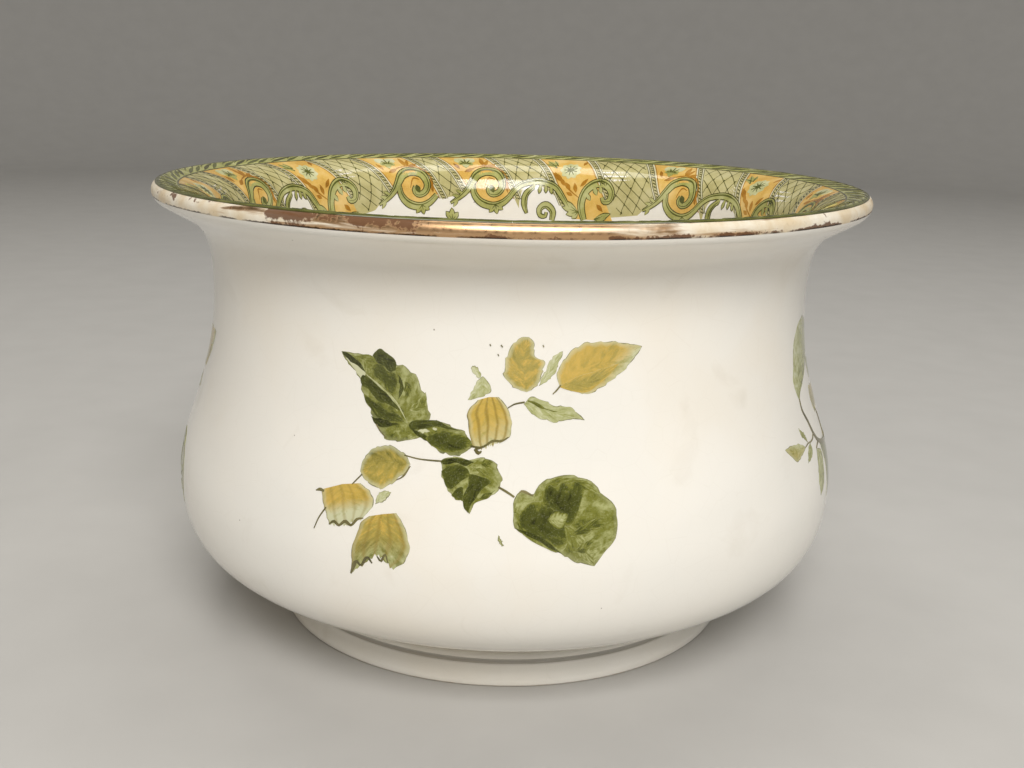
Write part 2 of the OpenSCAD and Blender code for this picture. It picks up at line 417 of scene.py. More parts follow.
def glazedEarthenware(name, look, shadeAndGrimeHeight=None, bareHeight=None):
    material, tree, place = startMaterial(name)
    cloud = addNode(tree, "TexNoise", {"Vector": place, "Scale": 1 / (look["cloud"] * mm), "Detail": 4})
    tone = addNode(tree, "ValToRGB", {"Fac": cloud},
                   stops=[(0.34, look["warm"]), (0.5, look["cream"]), (0.68, look["grey"])])
    smear = addNode(tree, "TexNoise", {"Vector": place, "Scale": 1 / (look["smudgeSize"] * mm), "Detail": 6,
                                       "Distortion": 0.6})
    smear = addNode(tree, "MapRange", {"Value": smear, "From Min": 0.62, "From Max": 0.8,
                                       "To Max": look["smudgeShare"]})
    tone = addNode(tree, "Mix", {0: smear, 6: tone, 7: look["smudge"]}, data_type="RGBA")
    cells = addNode(tree, "TexVoronoi", {"Vector": place, "Scale": 1 / (look["speckPitch"] * mm)})
    dotShare = look["speckSize"] / look["speckPitch"]
    dot = addNode(tree, "MapRange", {"Value": cells.outputs["Distance"], "From Min": 0.6 * dotShare,
                                     "From Max": dotShare, "To Min": look["speckShare"], "To Max": 0})
    some = addNode(tree, "Math", {0: cells.outputs["Color"], 1: look["speckAbove"]}, operation="GREATER_THAN")
    dot = addNode(tree, "Math", {0: dot, 1: some}, operation="MULTIPLY")
    tone = addNode(tree, "Mix", {0: dot, 6: tone, 7: look["speck"]}, data_type="RGBA")
    net = addNode(tree, "TexVoronoi", {"Vector": place, "Scale": 1 / (look["craze"] * mm)},
                  feature="DISTANCE_TO_EDGE")
    net = addNode(tree, "MapRange", {"Value": net.outputs["Distance"], "To Min": look["crazeShare"],
                                     "To Max": 0, "From Max": look["crazeWidth"] / look["craze"]})
    tone = addNode(tree, "Mix", {0: net, 6: tone, 7: look["smudge"]}, data_type="RGBA")
    height = addNode(tree, "SeparateXYZ", {0: place}).outputs["Z"]
    rough = look["roughness"]
    if shadeAndGrimeHeight:
        # painted shade with some grime in the foot's groove, darker by height round the groove's middle
        full, none = (reach * mm for reach in look["shadeAndGrimeReach"])
        far = addNode(tree, "Math", {0: height, 1: shadeAndGrimeHeight * mm}, operation="SUBTRACT")
        far = addNode(tree, "Math", {0: far}, operation="ABSOLUTE")
        shadeAndGrime = addNode(tree, "MapRange", {"Value": far, "From Min": full, "From Max": none,
                                           "To Min": look["shadeAndGrimeShare"], "To Max": 0})
        tone = addNode(tree, "Mix", {0: shadeAndGrime, 6: tone, 7: look["shadeAndGrime"]}, data_type="RGBA")
    if bareHeight:
        # the glaze wiped and worn off the edge that it stands on
        depth = look["wearDepth"] * mm
        wear = addNode(tree, "TexNoise", {"Vector": place, "Scale": 1 / (look["wear"] * mm), "Detail": 5})
        edge = addNode(tree, "Math", {0: wear, 1: depth, 2: -depth / 2}, operation="MULTIPLY_ADD")
        edge = addNode(tree, "Math", {0: height, 1: edge}, operation="ADD")
        bare = addNode(tree, "MapRange", {"Value": edge, "From Min": bareHeight * 0.7 * mm,
                                          "From Max": bareHeight * mm, "To Min": 1, "To Max": 0})
        tone = addNode(tree, "Mix", {0: bare, 6: tone, 7: look["bareClay"]}, data_type="RGBA")
        rough = addNode(tree, "MapRange", {"Value": bare, "To Min": look["roughness"],
                                           "To Max": look["bareRoughness"]})
    glazeOver(tree, place, tone, rough)
    return material


# Underglaze print: ceramic colour transferred from an engraved plate and sealed under the glaze, so it is
# as glossy as the body, a little uneven in its wash, and broken up by the plate's fine stipple.
printLook = {
    "wash": 7,           # mm
    "grain": 0.45,       # mm, coarser than the plate's own dots so that it shows
    "grainShare": 0.35,
}


def underglazePrint(name, main, deep, light):
    material, tree, place = startMaterial(name)
    wash = addNode(tree, "TexNoise", {"Vector": place, "Scale": 1 / (printLook["wash"] * mm), "Detail": 3})
    tone = addNode(tree, "ValToRGB", {"Fac": wash}, stops=[(0.33, deep), (0.5, main), (0.68, light)])
    stipple = addNode(tree, "TexNoise", {"Vector": place, "Detail": 2,
                                         "Scale": 1 / (printLook["grain"] * mm)})
    stipple = addNode(tree, "MapRange", {"Value": stipple, "From Min": 0.52, "From Max": 0.66,
                                         "To Max": printLook["grainShare"]})
    glazeOver(tree, place, addNode(tree, "Mix", {0: stipple, 6: tone, 7: light}, data_type="RGBA"))
    return material


# bowl, on the solid's own profile
bodyGlaze = glazedEarthenware("glazedEarthenware", glazeLook)
underRing = 35   # mm, one more ring under the floor
inFloor = np.linspace(floorEdge[0], 0, 12)[1:]
bowlLine = np.vstack([[[0, pot["baseHeight"]], [underRing, pot["baseHeight"]]], wallLine,
                      np.stack([inFloor, np.full(len(inFloor), pot["floorHeight"])], 1)])
turnedPiece("glazedBowl", bowlLine, bodyGlaze, "glazed_body", ["bowl"])

# foot ring and the slip that lutes it to the bowl
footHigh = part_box("foot_ring")[1]
foot = {
    "radius": footHigh.x / mm,
    "height": footHigh.z / mm,
    "restWidth": 6.0,
    "seatWidth": 11.0,
    "edge": 0.8,
    "flareHeight": 6.4,
    "flareSet": 2.0,
    "groove": 0.8,
    "bareEdge": 0.35,   # worn height above the ground
}
waist = foot["radius"] - foot["flareSet"]
grooveHeight = foot["flareHeight"] + foot["groove"]
beadRound = (foot["height"] - grooveHeight - foot["groove"]) / 2
seatInner = waist - foot["seatWidth"]
restOuter = foot["radius"] - foot["edge"]
flareFoot = np.array([foot["radius"], foot["edge"] + 0.6])
flareTop = np.array([waist, foot["flareHeight"]])
footLine = np.vstack([
    [[seatInner, foot["height"]], [foot["radius"] - foot["restWidth"], 0.0], [restOuter, 0.0]],
    roundLine([restOuter, foot["edge"]], foot["edge"], -90, 0, 6),
    bezier(flareFoot, flareFoot + [-0.5, 1.6], flareTop + [0.15, -2.2], flareTop, 10),   # slightly hollow
    roundLine([waist, grooveHeight], foot["groove"], 270, 90, 8),
    roundLine([waist, foot["height"] - beadRound], beadRound, -90, 90, 8),
])
# the foot's groove gets painted shade with some grime
footGlaze = glazedEarthenware("glazedFoot", glazeLook, shadeAndGrimeHeight=grooveHeight, bareHeight=foot["bareEdge"])
turnedPiece("footRing", footLine, footGlaze, "glazed_foot", ["foot_ring"], closed=True)
slipGlaze = glazedEarthenware("glazedSlip", dict(glazeLook, cream="#EAE4D8"))
# a wiped, hollow fillet
slipCurve = bezier([waist, foot["height"]], [waist - 1.6, foot["height"] + 0.3],
                   baseEdge - [0.4, 0.5], baseEdge, 8)
slipLine = np.vstack([[[seatInner, pot["baseHeight"]], [seatInner, foot["height"]], [waist, foot["height"]]],
                      slipCurve])
turnedPiece("footSlip", slipLine, slipGlaze, "slip", ["foot_slip"], closed=True)

# handle strap at the back, and the slip smoothed round its roots
handle = {
    "width": 22.0,
    "thickness": 10.0,
    "rootWidth": 26.0,
    "rootThickness": 12.0,
    "upperLift": 7.0,
    "lowerLift": 10.0,
    "upperAngle": 9.0,
    "lowerAngle": 25.0,
    "upperPull": 1.28,
    "lowerPull": 0.93,
    "rootPower": 4,
    "rootInset": 0.6,     # share of the wall that the ends reach into
    "slip": 1.5,
    "slipMargin": 2.5,
    "slipSink": 1.0,      # mm into the wall
    "steps": 96,
    "sides": 56,
}
upperRoot = innerNeck + [0, handle["upperLift"]]
lowerRoot = np.array([innerNeck[0], belly[1] + handle["lowerLift"]])
rootGap = upperRoot[1] - lowerRoot[1]
upperAim, lowerAim = (aim(math.radians(handle[k])) for k in ("upperAngle", "lowerAngle"))
strapPath = bezier(upperRoot, upperRoot + upperAim * handle["upperPull"] * rootGap,
                   lowerRoot + lowerAim * handle["lowerPull"] * rootGap, lowerRoot, handle["steps"])
strapShare = np.linspace(0, 1, handle["steps"] + 1)[1:]
wallRadius = np.interp(strapPath[:, 1], outerHeight, outerRadius)
shown = strapPath[:, 0] > wallRadius - pot["wall"] * handle["rootInset"]
strapPath, strapShare = strapPath[shown], strapShare[shown]
heading = np.gradient(strapPath, axis=0)
heading /= np.hypot(*heading.T)[:, None]
strapVerts, strapMap = [], []
count = handle["sides"]
around = np.linspace(0, 2 * math.pi, count, endpoint=False)
for (y, z), (dy, dz), share in zip(strapPath, heading, strapShare):
    swell = abs(2 * share - 1) ** handle["rootPower"]
    halfThick = (handle["thickness"] + (handle["rootThickness"] - handle["thickness"]) * swell) / 2
    halfWide = (handle["width"] + (handle["rootWidth"] - handle["width"]) * swell) / 2
    x = np.sign(np.cos(around)) * (halfWide - halfThick) + halfThick * np.cos(around)
    out = halfThick * np.sin(around)
    strapVerts.extend(np.stack([x, y - dz * out, z + dy * out], 1))
rows = len(strapPath)
strapFaces = ringFaces(rows, count)
for i in range(rows - 1):
    low, high = i / rows, (i + 1) / rows
    for k in range(count):
        left, right = k / count, (k + 1) / count
        strapMap += [(left, low), (left, high), (right, high), (right, low)]
# its ends, small in a corner of the map
for start, ring in ((0, range(count)), ((rows - 1) * count, range(count - 1, -1, -1))):
    strapFaces.append(tuple(start + k for k in ring))
    strapMap += [(0.01 + 0.005 * math.cos(a), 0.99 + 0.005 * math.sin(a)) for a in around]
handleGlaze = glazedEarthenware("glazedHandle", glazeLook)
makePiece("strapHandle", strapVerts, strapFaces, handleGlaze, "glazed_handle", ["handle"], bakeMap=strapMap)


def rootSlip(name, node, root, toward):
    # a smoothed skin of slip on the wall round a root, thick at the strap and feathered out at its edge
    radius = np.interp(root[1], outerHeight, outerRadius)
    middle = root[1] + toward[1] / toward[0] * (radius - root[0])
    middleWay = np.interp(middle, outerHeight, outerWay)
    share = np.linspace(0, 1, 9)[:, None]
    angle = np.linspace(0, 2 * math.pi, 73)[None, :]
    halfWide = handle["rootWidth"] / 2 + handle["slipMargin"]
    halfTall = (handle["rootThickness"] / 2 + handle["slipMargin"]) / toward[0]
    x = share * (np.sign(np.cos(angle)) * (halfWide - halfTall) + halfTall * np.cos(angle))
    way = middleWay + share * halfTall * np.sin(angle)
    thick = handle["slip"] * np.clip(1.25 * (1 - share ** 6), 0.02, 1) + 0 * angle
    top, bottom = (wallPoint(math.pi - x / radius, way, lift) for lift in (thick, -handle["slipSink"]))
    rings, columns = x.shape[0], x.shape[1] - 1
    verts, faces = [top[0, 0], bottom[0, 0]], []
    for i in range(1, rings):
        verts += list(top[i, :columns]) + list(bottom[i, :columns])
    for k in range(columns):
        n = (k + 1) % columns
        faces.append((0, 2 + n, 2 + k))
        faces.append((1, 2 + columns + k, 2 + columns + n))
        for i in range(rings - 2):
            a, b = 2 + 2 * columns * i, 2 + 2 * columns * (i + 1)
            faces.append((a + k, a + n, b + n, b + k))
            faces.append((a + columns + n, a + columns + k, b + columns + k, b + columns + n))
        last = 2 + 2 * columns * (rings - 2)
        faces.append((last + k, last + n, last + columns + n, last + columns + k))
    makePiece(name, verts, faces, slipGlaze, "slip", [node], sharp=60)


rootSlip("upperHandleSlip", "upper_handle_slip", upperRoot, upperAim)
rootSlip("lowerHandleSlip", "lower_handle_slip", lowerRoot, lowerAim)
print("pot turned, handle drawn")


# gilding on the lip: a ring over its upper round
gilding = {
    "innerEdge": 1.5,     # mm short of the lip's top
    "lowerEdge": 1.2,     # mm below the widest line
    "lift": 0.05,
    "depth": 0.3,
    "steps": 14,
    "cream": ("#DCC9A8", "#E6DAC3", "#EFE7D6"),   # bare glaze, stained where the gold has gone
    "gold": "#CFA87E",
    "brown": "#5C3410",
    "dark": "#2E2013",
    "streak": (22, 2.0),  # mm along and across
    "streakDepth": 0.12,
    "streakShare": 0.15,
    "patch": 9,           # mm
    "grit": 1.2,          # mm
    # how much gold, then stain, is left round the rim, from the back by the left:
    # gold at the front, stain left of it and low on the right
    "goldLeft": ((0.0, 0.5), (0.2, 0.2), (0.38, 0.26), (0.43, 0.56), (0.5, 0.78), (0.545, 0.5), (0.62, 0.3),
                 (0.85, 0.42), (1.0, 0.5)),
    "stainLeft": ((0.0, 0.3), (0.25, 0.1), (0.34, 0.1), (0.35, 0.26), (0.356, 0.1), (0.406, 0.12),
                  (0.412, 0.62), (0.427, 0.62), (0.432, 0.14), (0.441, 0.16), (0.446, 0.56), (0.466, 0.5),
                  (0.472, 0.28), (0.52, 0.2), (0.6, 0.24), (0.7, 0.2), (0.8, 0.14), (1.0, 0.3)),
}
# Worn gilding: liquid bright gold fired on at low heat, rubbed through by use, so thin warm metal is left
# in streaks along the rim, with brown stain in the rest and a dark broken line at its lower edge.
wornGilding, tree, place = startMaterial("wornGilding")
ringMap = addNode(tree, "UVMap", uv_map="OFBake")
ringPlace = addNode(tree, "SeparateXYZ", {0: ringMap})
turnShare, acrossShare = ringPlace.outputs["X"], ringPlace.outputs["Y"]
ringLength = 2 * math.pi * pot["rimRadius"]
bandWidth = 2 * (wayTop - wayWide - gilding["innerEdge"] + gilding["lowerEdge"])   # both sides of the ring
stretch = (ringLength / gilding["streak"][0], bandWidth / gilding["streak"][1], 1)
stretched = addNode(tree, "VectorMath", {0: ringMap, 1: stretch}, operation="MULTIPLY")
streak = addNode(tree, "TexNoise", {"Vector": stretched, "Scale": 1, "Detail": 6, "Roughness": 0.6,
                                    "Distortion": 0.4})
patch = addNode(tree, "TexNoise", {"Vector": place, "Scale": 1 / (gilding["patch"] * mm), "Detail": 6,
                                   "Roughness": 0.6})
grit = addNode(tree, "TexNoise", {"Vector": place, "Scale": 1 / (gilding["grit"] * mm), "Detail": 4})
goldLeft = addNode(tree, "ValToRGB", {"Fac": turnShare}, stops=gilding["goldLeft"])
stainLeft = addNode(tree, "ValToRGB", {"Fac": turnShare}, stops=gilding["stainLeft"])
# the stain keeps to the top of the band on the left, and to its lower edge on the right
highSide = addNode(tree, "MapRange", {"Value": acrossShare, "From Min": 0.1, "From Max": 0.3,
                                      "To Min": -0.1, "To Max": 0.2})
lowSide = addNode(tree, "MapRange", {"Value": acrossShare, "From Min": 0.05, "From Max": 0.2,
                                     "To Min": 0.46, "To Max": -0.06})
rightShare = addNode(tree, "MapRange", {"Value": turnShare, "From Min": 0.465, "From Max": 0.5})
stainSide = addNode(tree, "Mix", {0: rightShare, 2: highSide, 3: lowSide})
goldMask = addNode(tree, "Math", {0: streak, 1: 1.3, 2: goldLeft}, operation="MULTIPLY_ADD")
goldMask = addNode(tree, "MapRange", {"Value": goldMask, "From Min": 1.06, "From Max": 1.26})
stainSum = addNode(tree, "Math", {0: patch, 1: 1.7, 2: stainLeft}, operation="MULTIPLY_ADD")
stainSum = addNode(tree, "Math", {0: streak, 1: 0.7, 2: stainSum}, operation="MULTIPLY_ADD")
stainSum = addNode(tree, "Math", {0: stainSum, 1: stainSide}, operation="ADD")
stainSum = addNode(tree, "Math", {0: grit, 1: 0.9, 2: stainSum}, operation="MULTIPLY_ADD")
stainMask = addNode(tree, "MapRange", {"Value": stainSum, "From Min": 2.16, "From Max": 2.3, "To Max": 0.9})
lineMask = addNode(tree, "Math", {0: grit, 1: 0.1, 2: acrossShare}, operation="MULTIPLY_ADD")
lineMask = addNode(tree, "MapRange", {"Value": lineMask, "From Min": 0.08, "From Max": 0.105, "To Min": 0.9,
                                      "To Max": 0})
lineBreak = addNode(tree, "MapRange", {"Value": patch, "From Min": 0.38, "From Max": 0.5})
lineMask = addNode(tree, "Math", {0: lineMask, 1: lineBreak}, operation="MULTIPLY")
tone = addNode(tree, "ValToRGB", {"Fac": patch}, stops=list(zip((0.35, 0.5, 0.65), gilding["cream"])))
for mask, colour in ((goldMask, "gold"), (stainMask, "brown"), (lineMask, "dark")):
    tone = addNode(tree, "Mix", {0: mask, 6: tone, 7: gilding[colour]}, data_type="RGBA")
notStain = addNode(tree, "Math", {0: 1, 1: stainMask}, operation="SUBTRACT", use_clamp=True)
metal = addNode(tree, "Math", {0: goldMask, 1: notStain}, operation="MULTIPLY")
rough = addNode(tree, "MapRange", {"Value": grit, "From Min": 0.3, "From Max": 0.7, "To Min": 0.26,
                                   "To Max": 0.46})
rough = addNode(tree, "Math", {0: stainMask, 1: 0.4, 2: rough}, operation="MULTIPLY_ADD")
bump = addNode(tree, "Bump", {"Strength": gilding["streakShare"], "Height": streak,
                              "Distance": gilding["streakDepth"] * mm})
shade = addNode(tree, "BsdfPrincipled", {"Base Color": tone, "Metallic": metal, "Roughness": rough,
                                         "Normal": bump})
addNode(tree, "OutputMaterial", {"Surface": shade})
bandWays = np.linspace(wayWide - gilding["lowerEdge"], wayTop - gilding["innerEdge"], gilding["steps"])
bandOut, bandIn = (wallPoint(np.zeros(gilding["steps"]), bandWays, lift)[:, 1:] * [-1, 1]
                   for lift in (gilding["lift"], -gilding["depth"]))
turnedPiece("lipGilding", np.vstack([bandOut, bandIn[::-1]]), wornGilding, "gilding", closed=True)
print("lip gilded")

# printed border inside the lip; its places are mm along the wall, to the right as seen, and mm down
border = {
    "radius": 98.0,        # where a mm along is measured
    "ropeTop": 1.6,
    "ropeFoot": 8.3,
    "ropePitch": 6.6,
    "ropeRing": (180, 539.97, 289),   # degrees and steps; its ends nearly meet above the front
    # the print was bent over the lip: mm down as drawn, and mm down the wall from the lip's top
    "drawnDown": (1.6, 8.3, 12.0, 20.8, 60.0),
    "wallDown": (-1.7, 5.2, 9.5, 19.6, 58.8),
    # panels, by degrees from the back, each a flower (a) or a daisy (b)
    "panelAngles": [-78, -55, -31, -12, 11.5, 38, 63, 89, 113, 137, 161, 186, 210, 235, 259],
    "panelKinds": "abaabababababab",
    "panelWidth": 18.2,
    "panelFoot": {"a": (24.5, 27.5, 29.6, 30.0, 28.6, 26.0), "b": (35.0,) * 6},   # across it
    "slant": 0.62,         # mm along for each mm down
    "sway": (0.7, 24),     # mm along, over mm down
    # lines beside a panel: sheet, mm out from its side, width and lift
    "edgeLines": (("brown", -0.25, 0.3, 0), ("white", 0.4, 0.55, 0), ("ink", 0.85, 0.26, 0),
                  ("ground", 1.75, 1.7, 0.035), ("ink", 2.6, 0.26, 0), ("white", 3.05, 0.5, 0),
                  ("ink", 3.4, 0.2, 0)),
    "edgeFoot": {"a": (26.0, 28.0), "b": (30.0, 27.0)},   # left and right
    "braidPlace": 1.75,    # mm out from a panel's side
    "braidPitch": 1.25,
    "archTop": 20.8,
    "archFoot": 31.0,
    "archPower": 1.9,
    "plainFoot": 33.5,
    "trellisPitch": 5.4,
    "trellisWidth": 0.3,
    "trellisSlope": 0.82,  # mm along for each mm down
    "trellisSpan": (-40, 80),
    "trellisMargin": 3.7,
    "trellisFoot": 34,
    "trellisStep": 0.7,
    "knotRows": 24,        # and as many columns
    "knotMargin": 4,
    "seed": 5,
}
printInks = {
    # sheet: lift in mm, piece, material, main, deep and light colour, slot
    "ground": (0.03, "borderGround", "sagePrint", "#C0B781", "#B2A972", "#CBC395", "green_print"),
    "amber": (0.06, "borderAmber", "amberPrint", "#DCB561", "#CEA24B", "#E7C680", "ochre_enamel"),
    "white": (0.09, "borderWhite", "creamPrint", "#D4CFAC", "#C7C199", "#DFDAC0", "glazed_body"),
    "trellis": (0.08, "borderTrellis", "trellisPrint", "#6C6A3A", "#595728", "#858250", "green_print"),
    "scroll": (0.16, "borderScroll", "greenPrint", "#ABAA66", "#94944E", "#C0BF88", "green_print"),
    "shade": (0.19, "borderShade", "deepGreenPrint", "#5B5E2A", "#474A1F", "#75773E", "green_print"),
    "ink": (0.12, "borderInk", "darkLinePrint", "#4B4A22", "#393818", "#605E32", "green_print"),
    "brown": (0.10, "borderBrown", "brownPrint", "#A97728", "#90621E", "#BE8E40", "ochre_enamel"),
    "pale": (0.13, "borderPale", "paleGreenPrint", "#CBCA9A", "#B7B780", "#DAD9B4", "green_print"),
}
sheets = {name: newSheet() for name in printInks}
dice = random.Random(border["seed"])


def inBorder(start, along, down):
    way = wayTop + np.interp(down, border["drawnDown"], border["wallDown"])
    return math.pi - (math.radians(start) + np.asarray(along) / border["radius"]), way


def between(a, b, share):
    return a[0] + (b[0] - a[0]) * share, a[1] + (b[1] - a[1]) * share


def drawPatch(sheet, start, along, down):
    addPatch(sheets[sheet], *inBorder(start, along, down), printInks[sheet][0])


def drawStroke(sheet, start, points, widths, lift=0.0, step=0.8):
    left, right = strokeEdges(points, widths, step)
    edges = np.stack([left, right], 1)
    addPatch(sheets[sheet], *inBorder(start, edges[..., 0], edges[..., 1]), printInks[sheet][0] + lift)


def drawPetal(sheet, start, base, tip, width, bulge=0.5, lift=0.0):
    # a small pointed leaf or petal, widest at its bulge
    share = np.linspace(0, 1, 9)
    grow = np.where(share < bulge, share / bulge, (1 - share) / (1 - bulge))
    widths = width * (0.06 + 0.94 * np.sin(grow * math.pi / 2))
    step = np.hypot(tip[0] - base[0], tip[1] - base[1]) / 9
    drawStroke(sheet, start, [base, tip], widths, lift, step)


def drawPetals(sheet, start, petals, bulge=0.5):
    for base, tip, width in petals:
        drawPetal(sheet, start, base, tip, width, bulge)


def outlinedPetals(start, petals, outline):
    drawPetals("ink", start, [(base, tip, width + outline) for base, tip, width in petals])
    drawPetals("scroll", start, petals)


def scroll(start, points, widths, outline=0.75):
    # a green ribbon with a dark line round it and a darker stroke along its inner side
    drawStroke("ink", start, points, [w + outline for w in widths], 0.01)
    drawStroke("scroll", start, points, widths)
    right = strokeEdges(points, [w * 0.45 for w in widths])[1]
    drawStroke("shade", start, right[::4] if len(right) > 16 else right[::2], [0.15, 0.5, 0.6, 0.4, 0.15])


def acanthus(start, base, tips, width):
    # a fan of lobes from one base
    for tip in tips:
        drawPetal("ink", start, base, tip, width + 0.7, 0.6)
        drawPetal("scroll", start, base, between(base, tip, 0.94), width, 0.6)
        drawStroke("shade", start, [base, between(base, tip, 0.5)], [0.5, 0.15])


def lean(down):
    below = down - border["ropeFoot"]
    return border["slant"] * below + border["sway"][0] * np.sin(math.pi * below / border["sway"][1])


def panelEdge(side, offset, foot):
    half = border["panelWidth"] / 2 + offset
    return [(side * half + lean(d), d) for d in np.linspace(border["ropeFoot"], foot, 7)]


def flowerPanel(start):
    # kind a: a two-petalled flower and sprig over a spiral scroll, whose tail runs on to the right
    petals = (((-2.6, 9.6), 3.6), ((-0.6, 9.0), 2.6), ((5.0, 9.5), 3.6), ((3.2, 9.0), 2.4))
    drawPetals("pale", start, [((1.2, 13.2), *petal) for petal in petals], 0.72)
    sepals = (((-1.6, 13.6), 2.2), ((1.4, 15.6), 2.8), ((4.4, 13.9), 2.2))
    drawPetals("scroll", start, [((1.3, 12.0), *sepal) for sepal in sepals], 0.6)
    for a, b in (((1.2, 10.0), (1.4, 13.2)), ((-0.4, 11.2), (1.2, 13.4)), ((3.2, 11.0), (1.6, 13.4)),
                 ((-1.0, 13.2), (0.8, 13.0)), ((3.6, 13.4), (1.8, 13.0))):
        drawStroke("shade", start, [a, b], [0.25, 0.6, 0.25], 0.02)
    drawPetals("brown", start, (((8.4, 14.6), (7.4, 8.9), 1.9), ((9.0, 14.8), (10.4, 10.6), 1.6),
                                ((9.4, 15.2), (13.4, 13.4), 1.8), ((10.0, 15.6), (14.6, 16.6), 1.7),
                                ((-1.4, 16.0), (-3.6, 13.0), 1.4), ((0.4, 17.4), (4.6, 15.8), 1.5),
                                ((17.6, 20.0), (18.6, 25.6), 1.7), ((16.8, 18.0), (14.0, 15.0), 1.4)), 0.45)
    drawStroke("brown", start, [(2.0, 16.6), (6.4, 15.0), (10.6, 14.4), (15.2, 16.0), (18.4, 20.0),
                                (18.8, 25.0)], [0.2, 0.5, 0.6, 0.6, 0.5, 0.2])
    drawStroke("brown", start, [(8.6, 23.6), (10.2, 19.9), (13.0, 20.3)], [0.2, 0.6, 0.3])
    scroll(start, [(-6.4, 29.8), (-2.4, 27.6), (0.8, 25.0), (3.4, 21.4), (5.8, 18.4), (9.8, 17.0),
                   (14.2, 18.2), (16.2, 21.8), (15.2, 25.0), (12.2, 26.3), (10.2, 24.8), (10.9, 23.0)],
           [0.5, 1.4, 1.8, 2.3, 2.9, 3.2, 3.1, 2.9, 2.5, 2.2, 1.8, 1.2])
    drawPetal("shade", start, (12.6, 25.6), (11.2, 22.4), 2.3, 0.5, 0.01)
    outlinedPetals(start, (((-2.0, 27.4), (-5.6, 26.6), 1.2), ((-0.6, 26.2), (-4.0, 24.6), 1.1),
                           ((-2.8, 28.0), (-5.2, 31.4), 1.2)), 0.5)
    scroll(start, [(3.6, 22.6), (4.2, 26.4), (7.2, 29.6), (12.2, 30.9), (16.6, 29.6), (20.2, 26.6)],
           [1.6, 2.4, 2.8, 2.6, 2.2, 1.8])
    acanthus(start, (13.4, 30.4), [(10.6, 33.6), (14.2, 34.2), (16.8, 32.4)], 1.7)


def daisyPanel(start):
    # kind b: a daisy and sprigs over a hooked scroll
    heart = (4.4, 15.4)
    petalCount = 9
    for k in range(petalCount):
        angle = 2 * math.pi * k / petalCount + 0.3
        tip = (heart[0] + 4.5 * math.cos(angle), heart[1] + 3.9 * math.sin(angle))
        drawPetal("pale", start, heart, tip, 2.5, 0.72, 0.004 * (k % 2))
        drawStroke("shade", start, [heart, between(heart, tip, 0.62)], [0.75, 0.15])
    for base, tip, width in (((-1.4, 14.6), (-5.6, 10.4), 2.3), ((-1.8, 13.4), (-6.0, 12.8), 1.4),
                             ((-1.2, 13.4), (-3.0, 10.0), 1.3)):
        drawPetal("scroll", start, base, tip, width)
        drawStroke("shade", start, [base, tip], [0.5, 0.15])
    drawPetals("brown", start, (((2.0, 20.4), (-2.6, 17.0), 1.9), ((3.0, 22.0), (0.6, 19.0), 1.6),
                                ((5.4, 23.6), (3.0, 20.6), 1.9), ((8.0, 24.6), (7.0, 20.6), 1.8),
                                ((9.6, 22.0), (12.6, 18.8), 1.5), ((6.6, 25.8), (3.8, 24.6), 1.5),
                                ((9.0, 12.4), (9.8, 9.2), 1.4), ((17.6, 28.8), (20.6, 31.4), 1.8)), 0.45)
    drawStroke("brown", start, [(-2.0, 16.6), (2.2, 20.8), (5.4, 23.8), (9.6, 26.6)], [0.2, 0.7, 0.7, 0.3])
    scroll(start, [(12.4, 35.2), (11.0, 31.0), (11.0, 27.0), (13.0, 22.8), (16.8, 20.4), (21.0, 20.8),
                   (23.6, 23.6), (23.2, 26.8), (20.8, 27.6), (19.8, 25.8)],
           [2.0, 2.6, 2.7, 2.9, 3.1, 3.0, 2.8, 2.4, 1.9, 1.2])
    outlinedPetals(start, (((15.6, 21.8), (17.4, 25.2), 1.7), ((18.2, 21.4), (19.4, 24.4), 1.5),
                           ((12.6, 24.6), (14.8, 27.4), 1.5)), 0.6)
    acanthus(start, (9.6, 32.2), [(3.0, 28.0), (2.2, 30.4), (4.2, 33.4), (7.0, 35.0)], 2.0)
    acanthus(start, (17.0, 34.6), [(20.6, 36.0), (22.6, 34.0), (24.4, 32.0)], 1.8)


def archOver(start, period):
    # the tail's arch over bare glaze, with drooping lobes, and a small curl under it
    first, last = 19.6, period + 5.0
    middle = (first + last) / 2
    top = border["archTop"]
    scroll(start, [(first, 27.0), (first + 0.22 * (middle - first), 23.8), ((first + middle) / 2, top + 0.9),
                   (middle, top), ((middle + last) / 2, top + 1.8), (last - 2.6, top + 6.0), (last, 30.4)],
           [1.8, 1.9, 2.0, 2.1, 2.1, 2.0, 1.4])
    for share, droop in ((0.42, (-1.6, 3.2)), (0.52, (-0.8, 4.2)), (0.6, (0.2, 3.6)), (0.68, (0.8, 3.4))):
        base = (first + share * (last - first), top + 0.8 + 6 * max(0, share - 0.55))
        for sheet, reach, width, lift in (("ink", 1, 1.9, 0), ("scroll", 0.9, 1.3, 0.002)):
            tip = (base[0] + droop[0] * reach, base[1] + droop[1] * reach)
            drawPetal(sheet, start, base, tip, width, 0.6, lift)
    inner = first + 0.34 * (last - first)
    scroll(start, [(inner + 1.5, 22.8), (inner - 1.8, 26.0), (inner - 2.4, 30.0), (inner - 1.2, 33.6)],
           [1.2, 2.0, 2.2, 0.8])
    curl = first + 0.6 * (last - first)
    scroll(start, [(curl + 3.4, 36.0), (curl + 3.6, 32.4), (curl + 0.6, 29.9), (curl - 2.2, 31.6),
                   (curl - 1.8, 34.2), (curl + 0.4, 34.4), (curl + 0.8, 32.8)],
           [1.6, 2.2, 2.4, 2.2, 1.9, 1.4, 0.8])


